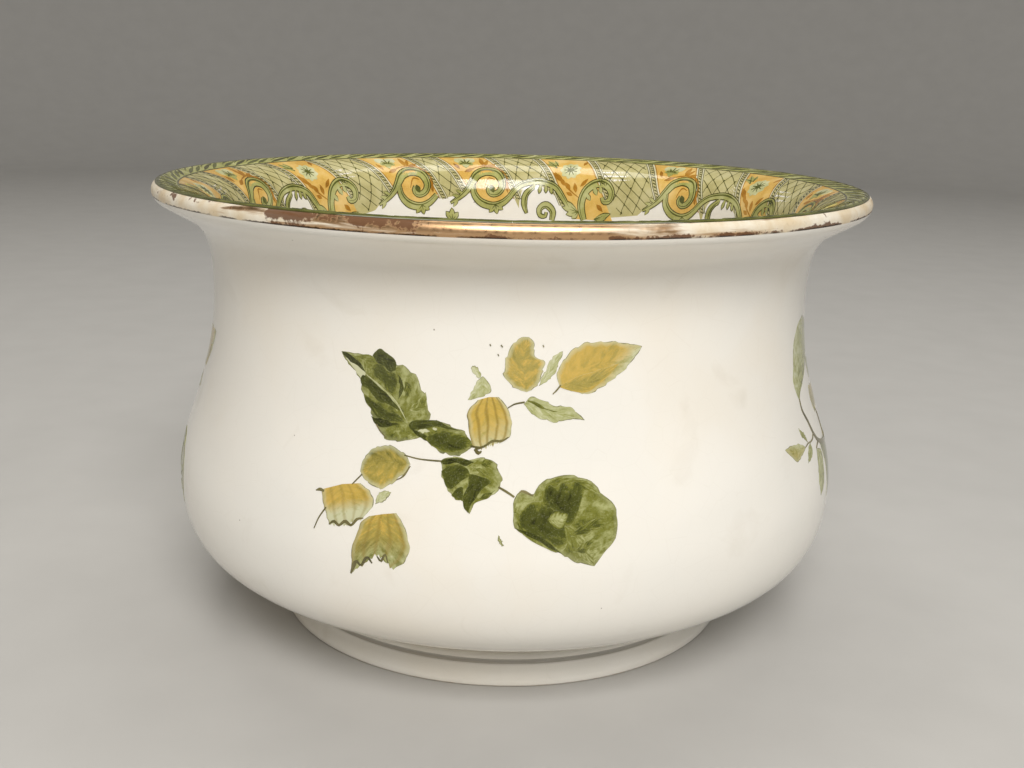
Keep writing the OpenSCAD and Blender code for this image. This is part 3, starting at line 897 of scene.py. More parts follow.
turns = border["panelAngles"]
kinds = border["panelKinds"]
half = border["panelWidth"] / 2
top = border["ropeFoot"]
pitchMm = border["trellisPitch"]
slope = border["trellisSlope"]
firstLine = border["trellisSpan"][0]
margin = border["trellisMargin"]
aside = border["knotMargin"]
rowShare = np.linspace(0, 1, 16)[:, None]
share = np.linspace(0, 1, 26)
for angle, kind, follow, nextKind in zip(turns, kinds, turns[1:] + [turns[0] + 360], kinds[1:] + kinds[0]):
    period = math.radians(follow - angle) * border["radius"]
    # amber panel
    panelFoot = np.interp(np.linspace(0, 5, 13), range(6), border["panelFoot"][kind])
    down = top + rowShare * (panelFoot[None, :] - top)
    drawPatch("amber", angle, np.linspace(-half, half, 13)[None, :] + lean(down), down)
    # braided edges
    for side, stop in zip((-1, 1), border["edgeFoot"][kind]):
        for sheet, offset, width, lift in border["edgeLines"]:
            drawStroke(sheet, angle, panelEdge(side, offset, stop), [width, width], lift)
        beside = side * (half + border["braidPlace"])
        for step in np.arange(top + 0.7, stop, border["braidPitch"]):
            twist = [(beside + lean(step) - 0.6, step - 0.25), (beside + lean(step + 0.5) + 0.5, step + 0.3)]
            drawStroke("ink", angle, twist, [0.2, 0.5, 0.2], 0, 0.6)
    # sage ground to the next panel, cut back over bare glaze after kind a
    gap = period - 2 * half
    arched = kind == "a" and nextKind == "b"
    if arched:
        drop = (border["archFoot"] - border["archTop"]) * np.abs(2 * share - 1) ** border["archPower"]
        low = border["archTop"] + 0.6 + drop
    elif kind == "a":
        low = 28.0 - 2.0 * share   # the print's join
    else:
        low = np.interp(share * gap, (0, gap - 14, gap - 11, gap - 5.5, gap - 1, gap),
                        (border["plainFoot"], 31.8, 29.9, 27.6, 25.0, 24.0))
    down = top + rowShare * (low[None, :] - top)
    drawPatch("ground", angle, (half + share * gap)[None, :] + lean(down), down)
    # engraved trellis, kept to the ground
    wave = dice.uniform(0, 6)
    for way in (-1, 1):
        for line in np.arange(*border["trellisSpan"], pitchMm):
            d = np.arange(top + 0.2, border["trellisFoot"], border["trellisStep"])
            a = line + way * slope * (d - top) + 0.35 * np.sin(d / 3 + wave + line)
            inside = (a > margin) & (a < gap - margin) & (d < np.interp(a / gap, share, low) - 0.4)
            runs = np.split(np.arange(len(d)), np.where(np.diff(inside.astype(int)))[0] + 1)
            for run in runs:
                if inside[run[0]] and len(run) > 2:
                    points = [(half + a[i] + lean(d[i]), d[i]) for i in run]
                    drawStroke("trellis", angle, points, [border["trellisWidth"]] * 2, 0, 1.4)
    # a knot where two lines cross
    for row in range(border["knotRows"]):
        for column in range(border["knotRows"]):
            d = top + row * pitchMm / (2 * slope)
            a = firstLine + (column + 0.5 * (row % 2)) * pitchMm
            if aside < a < gap - aside and top + 0.3 < d < np.interp(a / gap, share, low) - 0.8:
                x = half + a + lean(d) + dice.uniform(-0.1, 0.1)
                knot = [(x - 0.05, d - 0.45), (x + 0.05, d + 0.45)]
                drawStroke("ink", angle, knot, [0.25, 0.6, 0.25], 0, 0.5)
    if kind == "a":
        flowerPanel(angle)
    else:
        daisyPanel(angle)
    if arched:
        archOver(angle, period)
    elif kind == "a":
        acanthus(angle, (27.0, 36.5), [(24.0, 33.0), (26.6, 31.6), (29.6, 33.4)], 1.9)

# twisted rope of leaves along the top: its ground and lines, then the leaves
ropeTop, ropeFoot = border["ropeTop"], border["ropeFoot"]
ropeTurn = np.linspace(*border["ropeRing"])[:, None]
for sheet, high, low, rows, lift in (("scroll", ropeTop, ropeFoot + 0.1, 9, 0.035),
                                     ("shade", ropeTop, ropeTop + 1.3, 3, 0.08),
                                     ("ink", ropeTop, ropeTop + 0.35, 2, 0.14),
                                     ("ink", ropeFoot - 0.3, ropeFoot + 0.1, 2, 0.14)):
    way = inBorder(0, 0, np.linspace(high, low, rows))[1]
    addPatch(sheets[sheet], math.pi - np.radians(ropeTurn), way[None, :], lift)
leafCount = int(2 * math.pi * border["radius"] / border["ropePitch"])
for k in range(leafCount):
    angle = 360 * k / leafCount + dice.uniform(-0.4, 0.4)
    long = dice.uniform(8, 12)
    rise = dice.uniform(3.2, 4.6)
    sheet, lift = ("shade", -0.06) if k % 3 else ("ink", 0)
    drawPetal(sheet, angle, (0, 7.6), (long, 7.6 - rise), 1.3, 0.45, lift)
    drawStroke("ink", angle, [(2.0, 5.4), (long * 0.55, 3.6), (long, 2.3)], [0.15, 0.5, 0.15])
for sheet, (lift, piece, material, main, deep, light, slot) in printInks.items():
    sheetPiece(piece, sheets[sheet], underglazePrint(material, main, deep, light), slot)
print("border printed,", sum(s["count"] for s in sheets.values()), "points")


# printed leaf sprays on the outside; the front one is placed by the photograph's pixels
spray = {
    "measureRadius": 105.0,   # where a mm along the wall is measured
    "lift": 0.05,
    "leafStep": 0.003,        # each leaf lies over the one before
    "touchLift": (0.05, 0.004),   # the first brush touch on a leaf, then each next
    "stalkLift": 0.11,
    "edgeWander": 0.26,       # mm, the brush's unsteady edge
    "stalkShare": 0.85,       # of the widths below
    "leafGrid": (44, 12),     # rows along and columns across
    "budGrid": (30, 22),
    "strokeGrid": (20, 8),
    "widthUnit": 20,          # mm of half width that count as 1 in the wash
    "seed": 11,
}
# each leaf runs from its base to its tip: two edges and a middle rib, in pixels; dark and yellow are a
# share, then how it changes along the leaf and across it to the right edge; teeth are a number and a depth
# in mm; strokes are touches of the brush: tone, how soft, and two edges
frontLeaves = {
    "toothedLeaf": {
        "left": [(408, 440), (397, 441), (386, 438), (378, 427), (369, 408), (362, 391), (359, 378),
                 (347, 362), (341, 351)],
        "right": [(408, 440), (420, 436), (428, 420), (427, 408), (422, 392), (415, 376), (405, 366),
                  (396, 363), (388, 355), (380, 349), (374, 357), (362, 354), (341, 351)],
        "rib": [(408, 440), (398, 412), (380, 388), (362, 366), (341, 351)],
        "dark": (0.58, -0.1, -0.12), "teeth": (9, 0.9),
        "strokes": [
            (0.55, 0.1, [(352, 356), (359, 364), (366, 372), (371, 373)],
             [(352, 356), (363, 354), (372, 357), (377, 362), (371, 373)]),
            (-0.7, 0.0, [(345, 357), (349, 363), (356, 372), (361, 379)],
             [(345, 357), (353, 362), (359, 368), (366, 373), (361, 379)]),
            (1.25, 0.2, [(341, 351), (347, 358), (353, 363), (365, 372)],
             [(341, 351), (348, 353), (354, 357), (360, 364), (365, 372)]),
            (0.95, 0.3, [(372, 365), (372, 374), (381, 383), (390, 393), (394, 391)],
             [(372, 365), (381, 364), (388, 371), (395, 374), (397, 382), (394, 391)]),
            (1.15, 0.2, [(372, 355), (376, 362), (384, 367), (390, 371), (395, 370)],
             [(372, 355), (375, 351), (380, 349), (388, 354), (395, 362), (395, 370)]),
            (1.05, 0.2, [(397, 374), (399, 384), (398, 399)],
             [(397, 374), (402, 380), (403, 390), (398, 399)]),
            (0.75, 0.3, [(404, 381), (404, 390), (405, 401)],
             [(404, 381), (410, 383), (410, 393), (405, 401)]),
            (0.6, 0.3, [(409, 410), (413, 405), (421, 398), (425, 392)],
             [(409, 410), (418, 412), (426, 404), (425, 392)]),
            (1.1, 0.25, [(360, 380), (362, 386), (369, 390), (378, 401), (388, 405), (404, 412)],
             [(360, 380), (363, 374), (378, 384), (388, 393), (397, 403), (404, 412)]),
            (1.02, 0.3, [(363, 393), (366, 402), (371, 410), (376, 417), (388, 421), (404, 422)],
             [(363, 393), (369, 397), (377, 404), (385, 409), (396, 414), (404, 422)]),
            (1.25, 0.15, [(371, 416), (377, 425), (388, 427), (399, 424)],
             [(371, 416), (378, 418), (388, 421), (399, 424)]),
            (0.12, 0.0, [(366, 374.6), (380, 387.6), (394, 401.6), (408, 424)],
             [(366, 374), (380.6, 386.4), (395.2, 400.4), (408, 424)]),
        ],
    },
    "longLeaf": {
        "left": [(408, 425), (416, 421), (428, 421), (440, 422), (455, 428), (465, 433), (473, 446)],
        "right": [(408, 425), (416, 433), (426, 440), (440, 452), (455, 456), (465, 452), (473, 446)],
        "rib": [(408, 425), (425, 430), (445, 435), (473, 446)],
        "dark": (0.58, 0.0, 0.1), "teeth": (5, 0.5),
        "strokes": [
            (1.05, 0.15, [(408, 425), (412, 421), (422, 420), (436, 421), (449, 426), (460, 431)],
             [(408, 425), (411, 430), (418, 429), (428, 428), (440, 427), (460, 431)]),
            (1.1, 0.15, [(410, 428), (418, 432), (427, 436), (431, 442)],
             [(410, 428), (416, 434), (424, 440), (431, 442)]),
            (1.08, 0.5, [(425, 438), (432, 433), (444, 431), (457, 434), (467, 438), (472, 445)],
             [(425, 438), (430, 445), (440, 451), (452, 453), (462, 450), (472, 445)]),
            (-0.5, 0.0, [(417, 431), (422, 429), (430, 431)], [(417, 431), (422, 433), (430, 431)]),
            (-0.3, 0.0, [(432, 428), (435, 427), (437, 429)], [(432, 428), (434, 431), (437, 429)]),
        ],
    },
    "cupLeaf": {
        "left": [(482, 376), (474, 385), (467, 400)],
        "right": [(482, 376), (488, 383), (490, 391), (480, 397), (467, 400)],
        "rib": [(482, 376), (479, 388), (467, 400)],
        "dark": (0.1, 0.0, 0.1), "yellow": (0.1, 0.0, 0.0),
    },
    "cupStem": {
        "left": [(470, 368), (473, 373), (478, 378), (481, 378)],
        "right": [(470, 368), (474, 366), (479, 371), (481, 378)],
        "rib": [(470, 368), (474, 370), (478, 374), (481, 378)],
        "dark": (0.0, 0.0, 0.3),
    },
    "goldLeaf": {
        "left": [(526, 392), (513, 387), (504, 377), (504, 362), (510, 348), (520, 338), (528, 337)],
        "right": [(526, 392), (538, 384), (541, 372), (544, 362), (534, 356), (533, 344), (528, 337)],
        "rib": [(526, 392), (523, 375), (522, 355), (528, 337)],
        "dark": (0.1, 0.0, 0.0), "yellow": (1.05, -0.4, 0.0), "teeth": (5, 0.6),
    },
    "goldFlap": {
        "left": [(538, 386), (543, 374), (551, 358), (562, 351)],
        "right": [(538, 386), (550, 378), (557, 366), (562, 351)],
        "rib": [(538, 386), (547, 374), (554, 362), (562, 351)],
        "dark": (0.05, 0.0, 0.1), "teeth": (3, 0.3),
    },
    "broadGoldLeaf": {
        "left": [(559, 387), (556, 374), (562, 361), (579, 345), (600, 341), (625, 343), (641, 346)],
        "right": [(559, 387), (572, 391), (588, 394), (604, 385), (620, 373), (633, 359), (641, 346)],
        "rib": [(559, 387), (580, 374), (605, 363), (641, 346)],
        "dark": (-0.22, 0.12, 0.1), "yellow": (1.25, -0.9, -0.22), "teeth": (8, 0.45), "strokeYellow": 0.8,
        "strokes": [
            (0.24, 0.45, [(559, 387), (572, 378.5), (588, 373.5), (604, 368), (618, 363)],
             [(559, 387), (569, 390), (586, 391.5), (602, 381), (618, 363)]),
        ],
    },
    "slimLeaf": {
        "left": [(523, 404), (529, 398), (540, 399), (553, 405), (571, 408), (584, 420)],
        "right": [(523, 404), (528, 411), (540, 418), (553, 422), (567, 420), (584, 420)],
        "rib": [(523, 404), (540, 407), (557, 413), (584, 420)],
        "dark": (0.18, 0.0, 0.0), "teeth": (5, 0.3),
        "strokes": [
            (0.75, 0.1, [(527, 400), (535, 402), (546, 408), (558, 412)],
             [(527, 401.5), (534, 404), (545, 410), (558, 412)]),
        ],
    },
    "roundLeaf": {
        "left": [(410, 464), (406, 456), (399, 450), (387, 445), (372, 449), (363, 460), (360, 471)],
        "right": [(410, 464), (406, 472), (397, 479), (386, 486), (377, 488), (366, 480), (360, 471)],
        "rib": [(410, 464), (392, 463), (375, 465), (360, 471)],
        "dark": (0.3, 0.0, -0.2), "yellow": (1.0, 0.0, -0.4), "teeth": (5, 0.4),
    },
    "smallLeaf": {
        "left": [(375, 504), (378, 495), (384, 491), (391, 492)],
        "right": [(375, 504), (382, 502), (387, 498), (391, 492)],
        "rib": [(375, 504), (383, 497), (391, 492)],
        "dark": (0.05, 0.0, 0.0), "teeth": (2, 0.2),
    },
    "heartLeaf": {
        "left": [(468, 460), (455, 457), (443, 460), (441, 472), (446, 487), (452, 496), (463, 502),
                 (469, 514)],
        "right": [(468, 460), (480, 458), (492, 461), (499, 473), (500, 486), (490, 497), (475, 503),
                  (469, 514)],
        "rib": [(468, 460), (470, 478), (469, 496), (469, 514)],
        "dark": (0.4, 0.1, 0.0), "teeth": (6, 0.6),
        "strokes": [
            (1.2, 0.15, [(440, 461), (444, 465), (456, 463), (466, 466), (474, 462)],
             [(440, 461), (451, 458), (465, 459), (474, 462)]),
            (1.05, 0.3, [(441, 471), (443, 478), (446, 487), (451, 489), (460, 482), (470, 476)],
             [(441, 471), (449, 465), (458, 464), (466, 468), (470, 476)]),
            (1.12, 0.25, [(469, 474), (467, 487), (462, 502), (468, 513)],
             [(469, 474), (476, 475), (490, 481), (482, 489), (475, 499), (470, 505), (468, 513)]),
            (1.0, 0.3, [(451, 495), (456, 499), (462, 501)],
             [(451, 495), (457, 488), (463, 487), (462, 501)]),
            (0.75, 0.2, [(480, 464), (485, 459), (493, 462)], [(480, 464), (486, 467), (493, 462)]),
            (0.65, 0.2, [(472, 467), (484, 470), (493, 475)], [(472, 467), (482, 474), (493, 475)]),
            (0.9, 0.2, [(478, 499), (485, 494), (495, 490)], [(478, 499), (487, 498), (495, 490)]),
        ],
    },
    "broadLeaf": {
        "left": [(513, 513), (513, 500), (521, 491), (532, 495), (538, 486), (550, 478), (566, 475),
                 (588, 479), (601, 493), (613, 505), (618, 521), (614, 540), (604, 552), (594, 566)],
        "right": [(513, 513), (515, 529), (530, 537), (545, 545), (560, 553), (577, 562), (594, 566)],
        "rib": [(513, 513), (540, 516), (568, 532), (594, 566)],
        "dark": (0.5, 0.0, 0.05), "teeth": (7, 0.5),
        "strokes": [
            (0.7, 0.3, [(540, 488), (552, 479), (568, 477), (586, 481), (600, 494)],
             [(540, 488), (556, 490), (572, 488), (588, 492), (600, 494)]),
            (1.05, 0.6, [(516, 520), (522, 508), (533, 502), (546, 502), (560, 512)],
             [(516, 520), (522, 534), (543, 547), (559, 553), (567, 541), (560, 512)]),
            (1.15, 0.6, [(542, 505), (546, 485), (555, 488), (560, 482), (568, 484), (576, 481),
                         (584, 490)],
             [(542, 505), (554, 511), (566, 526), (576, 516), (584, 490)]),
            (0.25, -0.75, [(547, 519), (555, 510), (568, 514)],
             [(547, 519), (554, 528), (563, 528), (568, 514)]),
            (0.8, 0.35, [(570, 537), (580, 526), (598, 518), (608, 522)],
             [(570, 537), (584, 534), (598, 528), (608, 522)]),
            (0.75, 0.35, [(572, 552), (582, 543), (596, 536)], [(572, 552), (586, 552), (596, 536)]),
            (1.2, 0.15, [(514, 528), (530, 537), (545, 545), (562, 554)],
             [(514, 528), (531, 533), (547, 542), (562, 554)]),
        ],
    },
    "looseTouch": {
        "left": [(498, 535), (498.5, 541), (501.5, 546.5)],
        "right": [(498, 535), (500.8, 539), (503, 545), (501.5, 546.5)],
        "dark": (0.3, 0.2, 0.1),
    },
}
# buds hang from their first edge; stripe is how strongly they are lined along their length
frontBuds = {
    "stripedBud": {
        "left": [(477, 400), (468, 410), (467, 425), (470, 440), (475, 449)],
        "right": [(498, 397), (507, 407), (511, 421), (509, 437), (500, 441)],
        "rib": [(488, 397), (488, 412), (489, 428), (488, 446)],
        "dark": (-0.3, 0.1, 0.0), "yellow": (1.0, -0.6, -0.1), "stripe": 0.8, "jag": 0.7,
    },
    "paleBud": {
        "left": [(322, 489), (322, 500), (326, 512), (329, 524)],
        "right": [(360, 483), (371, 493), (372, 507), (362, 519)],
        "rib": [(342, 484), (345, 496), (346, 510), (347, 524)],
        "dark": (-0.3, 0.1, 0.0), "yellow": (1.15, -1.2, 0.0), "stripe": 0.4, "jag": 0.6,
    },
    "tornBud": {
        "left": [(369, 516), (361, 522), (356, 535), (352, 550), (351, 572)],
        "right": [(396, 513), (404, 526), (409, 545), (405, 562), (395, 570)],
        "rib": [(383, 514), (381, 530), (379, 545), (377, 555)],
        "dark": (-0.02, 0.42, 0.0), "yellow": (1.2, -0.95, -0.05), "stripe": 0.6, "jag": 0.9,
    },
}
# thin stalks and loose touches of the brush: the leaf they go with, pixels, then widths in mm
frontStalks = [
    ("stripedBud", [(507, 408), (514, 404), (524, 402)], (0.3, 0.45, 0.5)),
    ("broadGoldLeaf", [(552, 394), (556, 390), (560, 385)], (0.3, 0.45, 0.5)),
    ("roundLeaf", [(404, 455), (420, 459), (441, 461)], (0.35, 0.4, 0.5)),
    ("roundLeaf", [(362, 474), (357, 479), (352, 484)], (0.4, 0.4, 0.3)),
    ("roundLeaf", [(396, 480), (403, 476), (410, 466)], (0.2, 0.6, 0.3)),
    ("paleBud", [(326, 507), (319, 517), (314, 528)], (0.5, 0.4, 0.25)),
    ("paleBud", [(316, 490), (320, 489), (324, 491)], (0.3, 1.1, 0.6)),
    ("paleBud", [(329, 524), (334, 521), (339, 525), (345, 521), (351, 525), (357, 519), (363, 518)],
     (0.4, 1.0, 0.7, 1.1, 0.7, 0.9, 0.3)),
    ("tornBud", [(351, 573), (356, 561), (361, 565), (367, 557), (372, 563)], (0.5, 1.4, 0.6, 1.0, 0.3)),
    ("tornBud", [(377, 556), (381, 561), (385, 554), (388, 563)], (0.3, 0.8, 0.5, 0.3)),
    ("broadLeaf", [(498, 487), (505, 491), (514, 497)], (0.6, 0.7, 0.6)),
    ("broadLeaf", [(518, 494), (522, 491), (533, 496)], (0.3, 0.9, 0.4)),
    ("stripedBud", [(474, 449), (478, 453), (481, 451)], (0.6, 1.3, 0.4)),
    ("stripedBud", [(475, 449), (484, 446), (492, 441), (501, 441), (508, 437)], (0.8, 0.6, 0.8, 0.7, 0.3)),
    ("longLeaf", [(470, 446), (477, 447), (484, 447)], (0.6, 0.5, 0.3)),
    ("toothedLeaf", [(376, 424), (380, 431), (386, 438)], (0.5, 0.4, 0.2)),
    ("smallLeaf", [(489, 344), (490, 346)], (0.4, 0.3)),
    ("smallLeaf", [(500, 345), (502, 347)], (0.5, 0.3)),
    ("smallLeaf", [(542, 345), (543, 347)], (0.4, 0.3)),
    ("smallLeaf", [(497, 354), (498, 356)], (0.35, 0.25)),
]
# the shoot at the right-hand limb: degrees round from the front and mm up the wall
sideLeaves = {
    "reedLeaf": {
        "left": [(61.9, 91), (60.8, 94), (59.9, 97.6), (60.7, 101), (61.4, 106), (62.4, 110), (65, 113.5),
                 (69, 115)],
        "right": [(61.9, 91), (63.5, 93.5), (66.5, 95.5), (69.5, 98), (73, 101), (76, 105), (75, 111),
                  (69, 115)],
        "dark": (0.3, -0.1, 0.2), "teeth": (6, 0.4),
    },
    "limbLobe": {
        "left": [(73, 101), (73.4, 97), (75.5, 93)],
        "right": [(73, 101), (78, 98), (79, 95), (75.5, 93)],
        "dark": (0.4, 0.0, 0.0), "teeth": (2, 0.2),
    },
    "limbBud": {
        "left": [(71, 92), (70.4, 88), (72, 83)],
        "right": [(71, 92), (78, 90), (79, 86), (72, 83)],
        "dark": (0.1, 0.3, -0.2), "yellow": (1.0, -0.5, 0.0),
    },
    "tipLeaf": {
        "left": [(59.8, 77.7), (57, 79.9), (54, 80.9), (51.5, 80.6)],
        "right": [(59.8, 77.7), (57.3, 76.4), (54.8, 75.6), (53, 78.2), (51.5, 80.6)],
        "dark": (0.12, 0.0, 0.1), "yellow": (0.42, 0.1, 0.1), "teeth": (2, 0.2),
    },
    "shootLeaf": {
        "left": [(62.3, 77.8), (60.6, 76.5), (59.1, 73)],
        "right": [(62.3, 77.8), (62.6, 75.6), (61.4, 73.6), (59.1, 73)],
        "dark": (0.35, 0.0, 0.0),
    },
    "thinLeaf": {
        "left": [(61.2, 78.4), (59.2, 81), (58.3, 84.2)],
        "right": [(61.2, 78.4), (60.4, 81.6), (58.3, 84.2)],
        "dark": (0.4, 0.0, 0.0),
    },
    "lowLeaf": {
        "left": [(65.3, 74.5), (64.2, 70.5), (63.2, 65.5), (63.6, 60.4)],
        "right": [(65.3, 74.5), (68.6, 72), (67.6, 66), (66, 62), (63.6, 60.4)],
        "dark": (0.25, 0.0, 0.1), "teeth": (4, 0.3),
    },
    "limbLeaf": {
        "left": [(68.6, 74.8), (69.8, 70), (70.2, 64), (69, 57)],
        "right": [(68.6, 74.8), (76, 73), (78, 65), (75, 59), (69, 57)],
        "dark": (0.75, 0.0, 0.1), "teeth": (6, 0.5),
    },
}
sideStalks = [
    ([(61.9, 91.6), (62.2, 88), (64, 83.8), (66, 78.5), (69, 75), (76, 72), (84, 71), (92, 73),
      (100, 78.5), (106.5, 86)],
     (0.7, 1.3, 1.6, 1.7, 1.7, 1.4, 1.1, 0.9, 0.8, 0.7)),
    ([(65.6, 79.6), (64.2, 78.2), (62.2, 77.9)], (0.7, 0.6, 0.4)),
    ([(63, 78), (61.2, 78.2), (59.6, 77.8)], (0.4, 0.4, 0.3)),
    ([(68, 75.6), (66.6, 75.4), (65.2, 74.6)], (0.6, 0.6, 0.4)),
    ([(76, 72), (75, 80), (73, 84)], (0.8, 0.6, 0.4)),
]
# the sprays that the camera hardly sees are set from the front one's leaves:
# angle of its middle, mm up from the front one, turn, leaves left out
otherSprays = [
    (106, 2, 12, ["paleBud", "tornBud", "smallLeaf", "roundLeaf", "looseTouch"]),
    (-92, -18, 9, ["smallLeaf", "looseTouch"]),
]
# Underglaze leaf print: outlines and tints printed from a plate, then washed over by brush, so each leaf has
# pale, mid and dark green in soft ragged strokes, ochre where it turns, and a broken dark edge.
leafLook = {
    "palest": "#CBCBA6",
    "pale": "#A9AB72",
    "mid": "#777933",
    "dark": "#4E521F",
    "deep": "#2B2D0C",
    "ochre": "#CDAC53",
    "ochreDeep": "#B59D48",
    "olive": "#A49549",
    "oliveDeep": "#857B38",
    "line": "#8F7A34",
    "edge": "#56532C",
    "strokes": 7.0,    # brush strokes along a leaf
    "strokeSlope": -2.2,
    "strokeShift": 9.0,
    "bristles": 1.1,   # to a stroke
    "ragged": 2.0,     # mm, the brush's torn edge
    "wash": 6,         # mm
    "grain": 0.4,      # mm, the plate's stipple, coarser than real so that it shows
    "rimWash": 1.5,    # mm of thinner colour inside an edge
    "edgeWidth": 0.3,  # mm
    "budLines": 4.6,   # from the rib to an edge
    # each deeper wash: colour, colour on gold, and the levels where it starts and is full
    "washes": (("pale", "olive", 1.02, 1.36), ("mid", "oliveDeep", 1.4, 1.7), ("dark", "dark", 1.76, 2.0),
               ("deep", "deep", 2.12, 2.5)),
}
leafPrint, tree, place = startMaterial("underglazeLeafPrint")
leafMap = addNode(tree, "UVMap", uv_map="leaf")
leafPlace = addNode(tree, "SeparateXYZ", {0: leafMap})
along, across = leafPlace.outputs["X"], leafPlace.outputs["Y"]
washed = addNode(tree, "Attribute", attribute_name="wash")
parts = addNode(tree, "SeparateColor", {0: washed.outputs["Color"]})
darkShare, yellowShare, halfWidth = (parts.outputs[k] for k in ("Red", "Green", "Blue"))
stripeShare = washed.outputs["Alpha"]
fromRib = addNode(tree, "Math", {0: across}, operation="ABSOLUTE")
ragged = addNode(tree, "TexNoise", {"Vector": place, "Scale": 1 / (leafLook["ragged"] * mm), "Detail": 5,
                                    "Roughness": 0.62, "Distortion": 0.5})
washy = addNode(tree, "TexNoise", {"Vector": place, "Scale": 1 / (leafLook["wash"] * mm), "Detail": 3})
grain = addNode(tree, "TexNoise", {"Vector": place, "Scale": 1 / (leafLook["grain"] * mm), "Detail": 2})
# strokes slope forward from the rib, as side veins do, and differ from side to side and leaf to leaf
strokeStep = addNode(tree, "Math", {0: fromRib, 1: leafLook["strokeSlope"]}, operation="MULTIPLY")
strokeStep = addNode(tree, "Math", {0: along, 1: leafLook["strokes"], 2: strokeStep},
                     operation="MULTIPLY_ADD")
strokeSide = addNode(tree, "Math", {0: across}, operation="SIGN")
strokeSide = addNode(tree, "Math", {0: halfWidth, 1: leafLook["strokeShift"], 2: strokeSide},
                     operation="MULTIPLY_ADD")
strokePlace = addNode(tree, "CombineXYZ", {"X": strokeStep, "Y": fromRib, "Z": strokeSide})
bristle = addNode(tree, "TexNoise", {"Vector": strokePlace, "Scale": leafLook["bristles"], "Detail": 5,
                                     "Roughness": 0.62, "Distortion": 0.3})
# washes laid one on another: each deeper tone shows where strokes and torn edges pass a level
level = addNode(tree, "Math", {0: bristle, 1: 1.5, 2: darkShare}, operation="MULTIPLY_ADD")
level = addNode(tree, "Math", {0: ragged, 1: 0.8, 2: level}, operation="MULTIPLY_ADD")
goldLevel = addNode(tree, "Math", {0: washy, 1: 0.25, 2: yellowShare}, operation="MULTIPLY_ADD")
goldLevel = addNode(tree, "Math", {0: ragged, 1: 0.2, 2: goldLevel}, operation="MULTIPLY_ADD")
goldMask = addNode(tree, "MapRange", {"Value": goldLevel, "From Min": 0.5, "From Max": 0.95},
                   interpolation_type="SMOOTHSTEP")
goldPatch = addNode(tree, "MapRange", {"Value": bristle, "From Min": 0.35, "From Max": 0.65})
goldTone = addNode(tree, "Mix", {0: goldPatch, 6: leafLook["ochre"], 7: leafLook["ochreDeep"]},
                   data_type="RGBA")
tone = addNode(tree, "Mix", {0: goldMask, 6: leafLook["palest"], 7: goldTone}, data_type="RGBA")
for colour, onGold, low, high in leafLook["washes"]:
    mask = addNode(tree, "MapRange", {"Value": level, "From Min": low, "From Max": high})
    wash = addNode(tree, "Mix", {0: goldMask, 6: leafLook[colour], 7: leafLook[onGold]}, data_type="RGBA")
    tone = addNode(tree, "Mix", {0: mask, 6: tone, 7: wash}, data_type="RGBA")
# thinner colour towards the edge, most on the yellow
edgeFar = addNode(tree, "Math", {0: 1, 1: fromRib}, operation="SUBTRACT")
edgeFar = addNode(tree, "Math", {0: edgeFar, 1: halfWidth}, operation="MULTIPLY")
edgeFar = addNode(tree, "Math", {0: edgeFar, 1: spray["widthUnit"], 2: ragged}, operation="MULTIPLY_ADD")
rimMask = addNode(tree, "MapRange", {"Value": edgeFar, "From Min": 0.5, "From Max": 0.5 + leafLook["rimWash"],
                                     "To Min": 0.75, "To Max": 0})
rimShare = addNode(tree, "MapRange", {"Value": goldMask, "To Min": 0.3})
rimMask = addNode(tree, "Math", {0: rimMask, 1: rimShare}, operation="MULTIPLY")
tone = addNode(tree, "Mix", {0: rimMask, 6: tone, 7: leafLook["palest"]}, data_type="RGBA")
# fine lines along a bud
lines = addNode(tree, "Math", {0: across, 1: leafLook["budLines"], 2: washy}, operation="MULTIPLY_ADD")
lines = addNode(tree, "Math", {0: lines, 1: 1}, operation="PINGPONG")
lines = addNode(tree, "Math", {0: ragged, 1: 0.45, 2: lines}, operation="MULTIPLY_ADD")
lines = addNode(tree, "MapRange", {"Value": lines, "From Min": 0.3, "From Max": 0.72, "To Min": 0.9,
                                   "To Max": 0})
lines = addNode(tree, "Math", {0: lines, 1: stripeShare}, operation="MULTIPLY")
tone = addNode(tree, "Mix", {0: lines, 6: tone, 7: leafLook["line"]}, data_type="RGBA")
# the plate's broken outline, by mm from the edge, and its stipple
lineStart, lineEnd = (0.42 + part * leafLook["edgeWidth"] for part in (0.4, 1))
edgeMask = addNode(tree, "MapRange", {"Value": edgeFar, "From Min": lineStart, "From Max": lineEnd,
                                      "To Min": 0.8, "To Max": 0})
edgeBreak = addNode(tree, "MapRange", {"Value": washy, "From Min": 0.43, "From Max": 0.55, "To Min": 0.15})
edgeMask = addNode(tree, "Math", {0: edgeMask, 1: edgeBreak}, operation="MULTIPLY")
tone = addNode(tree, "Mix", {0: edgeMask, 6: tone, 7: leafLook["edge"]}, data_type="RGBA")
stipple = addNode(tree, "MapRange", {"Value": grain, "From Min": 0.55, "From Max": 0.68, "To Max": 0.1})
glazeOver(tree, place, addNode(tree, "Mix", {0: stipple, 6: tone, 7: leafLook["palest"]}, data_type="RGBA"))

brush = random.Random(spray["seed"])
measure = spray["measureRadius"]


def onFlatWall(pixels):
    # pixels to mm along the wall and mm up it
    return np.array([(theta * measure, way) for theta, way in map(wallAtPixel, pixels)])


def onTurnedWall(points):
    # degrees and mm up to mm along the wall and mm up it
    return np.array([(math.radians(turn) * measure, way) for turn, way in points])


def unsteady(count, amount):
    # a small wander that starts and ends at nothing
    knots = [0] + [brush.uniform(-amount, amount) for _ in range(count // 3)] + [0]
    return np.interp(np.linspace(0, 1, count), np.linspace(0, 1, len(knots)), knots)


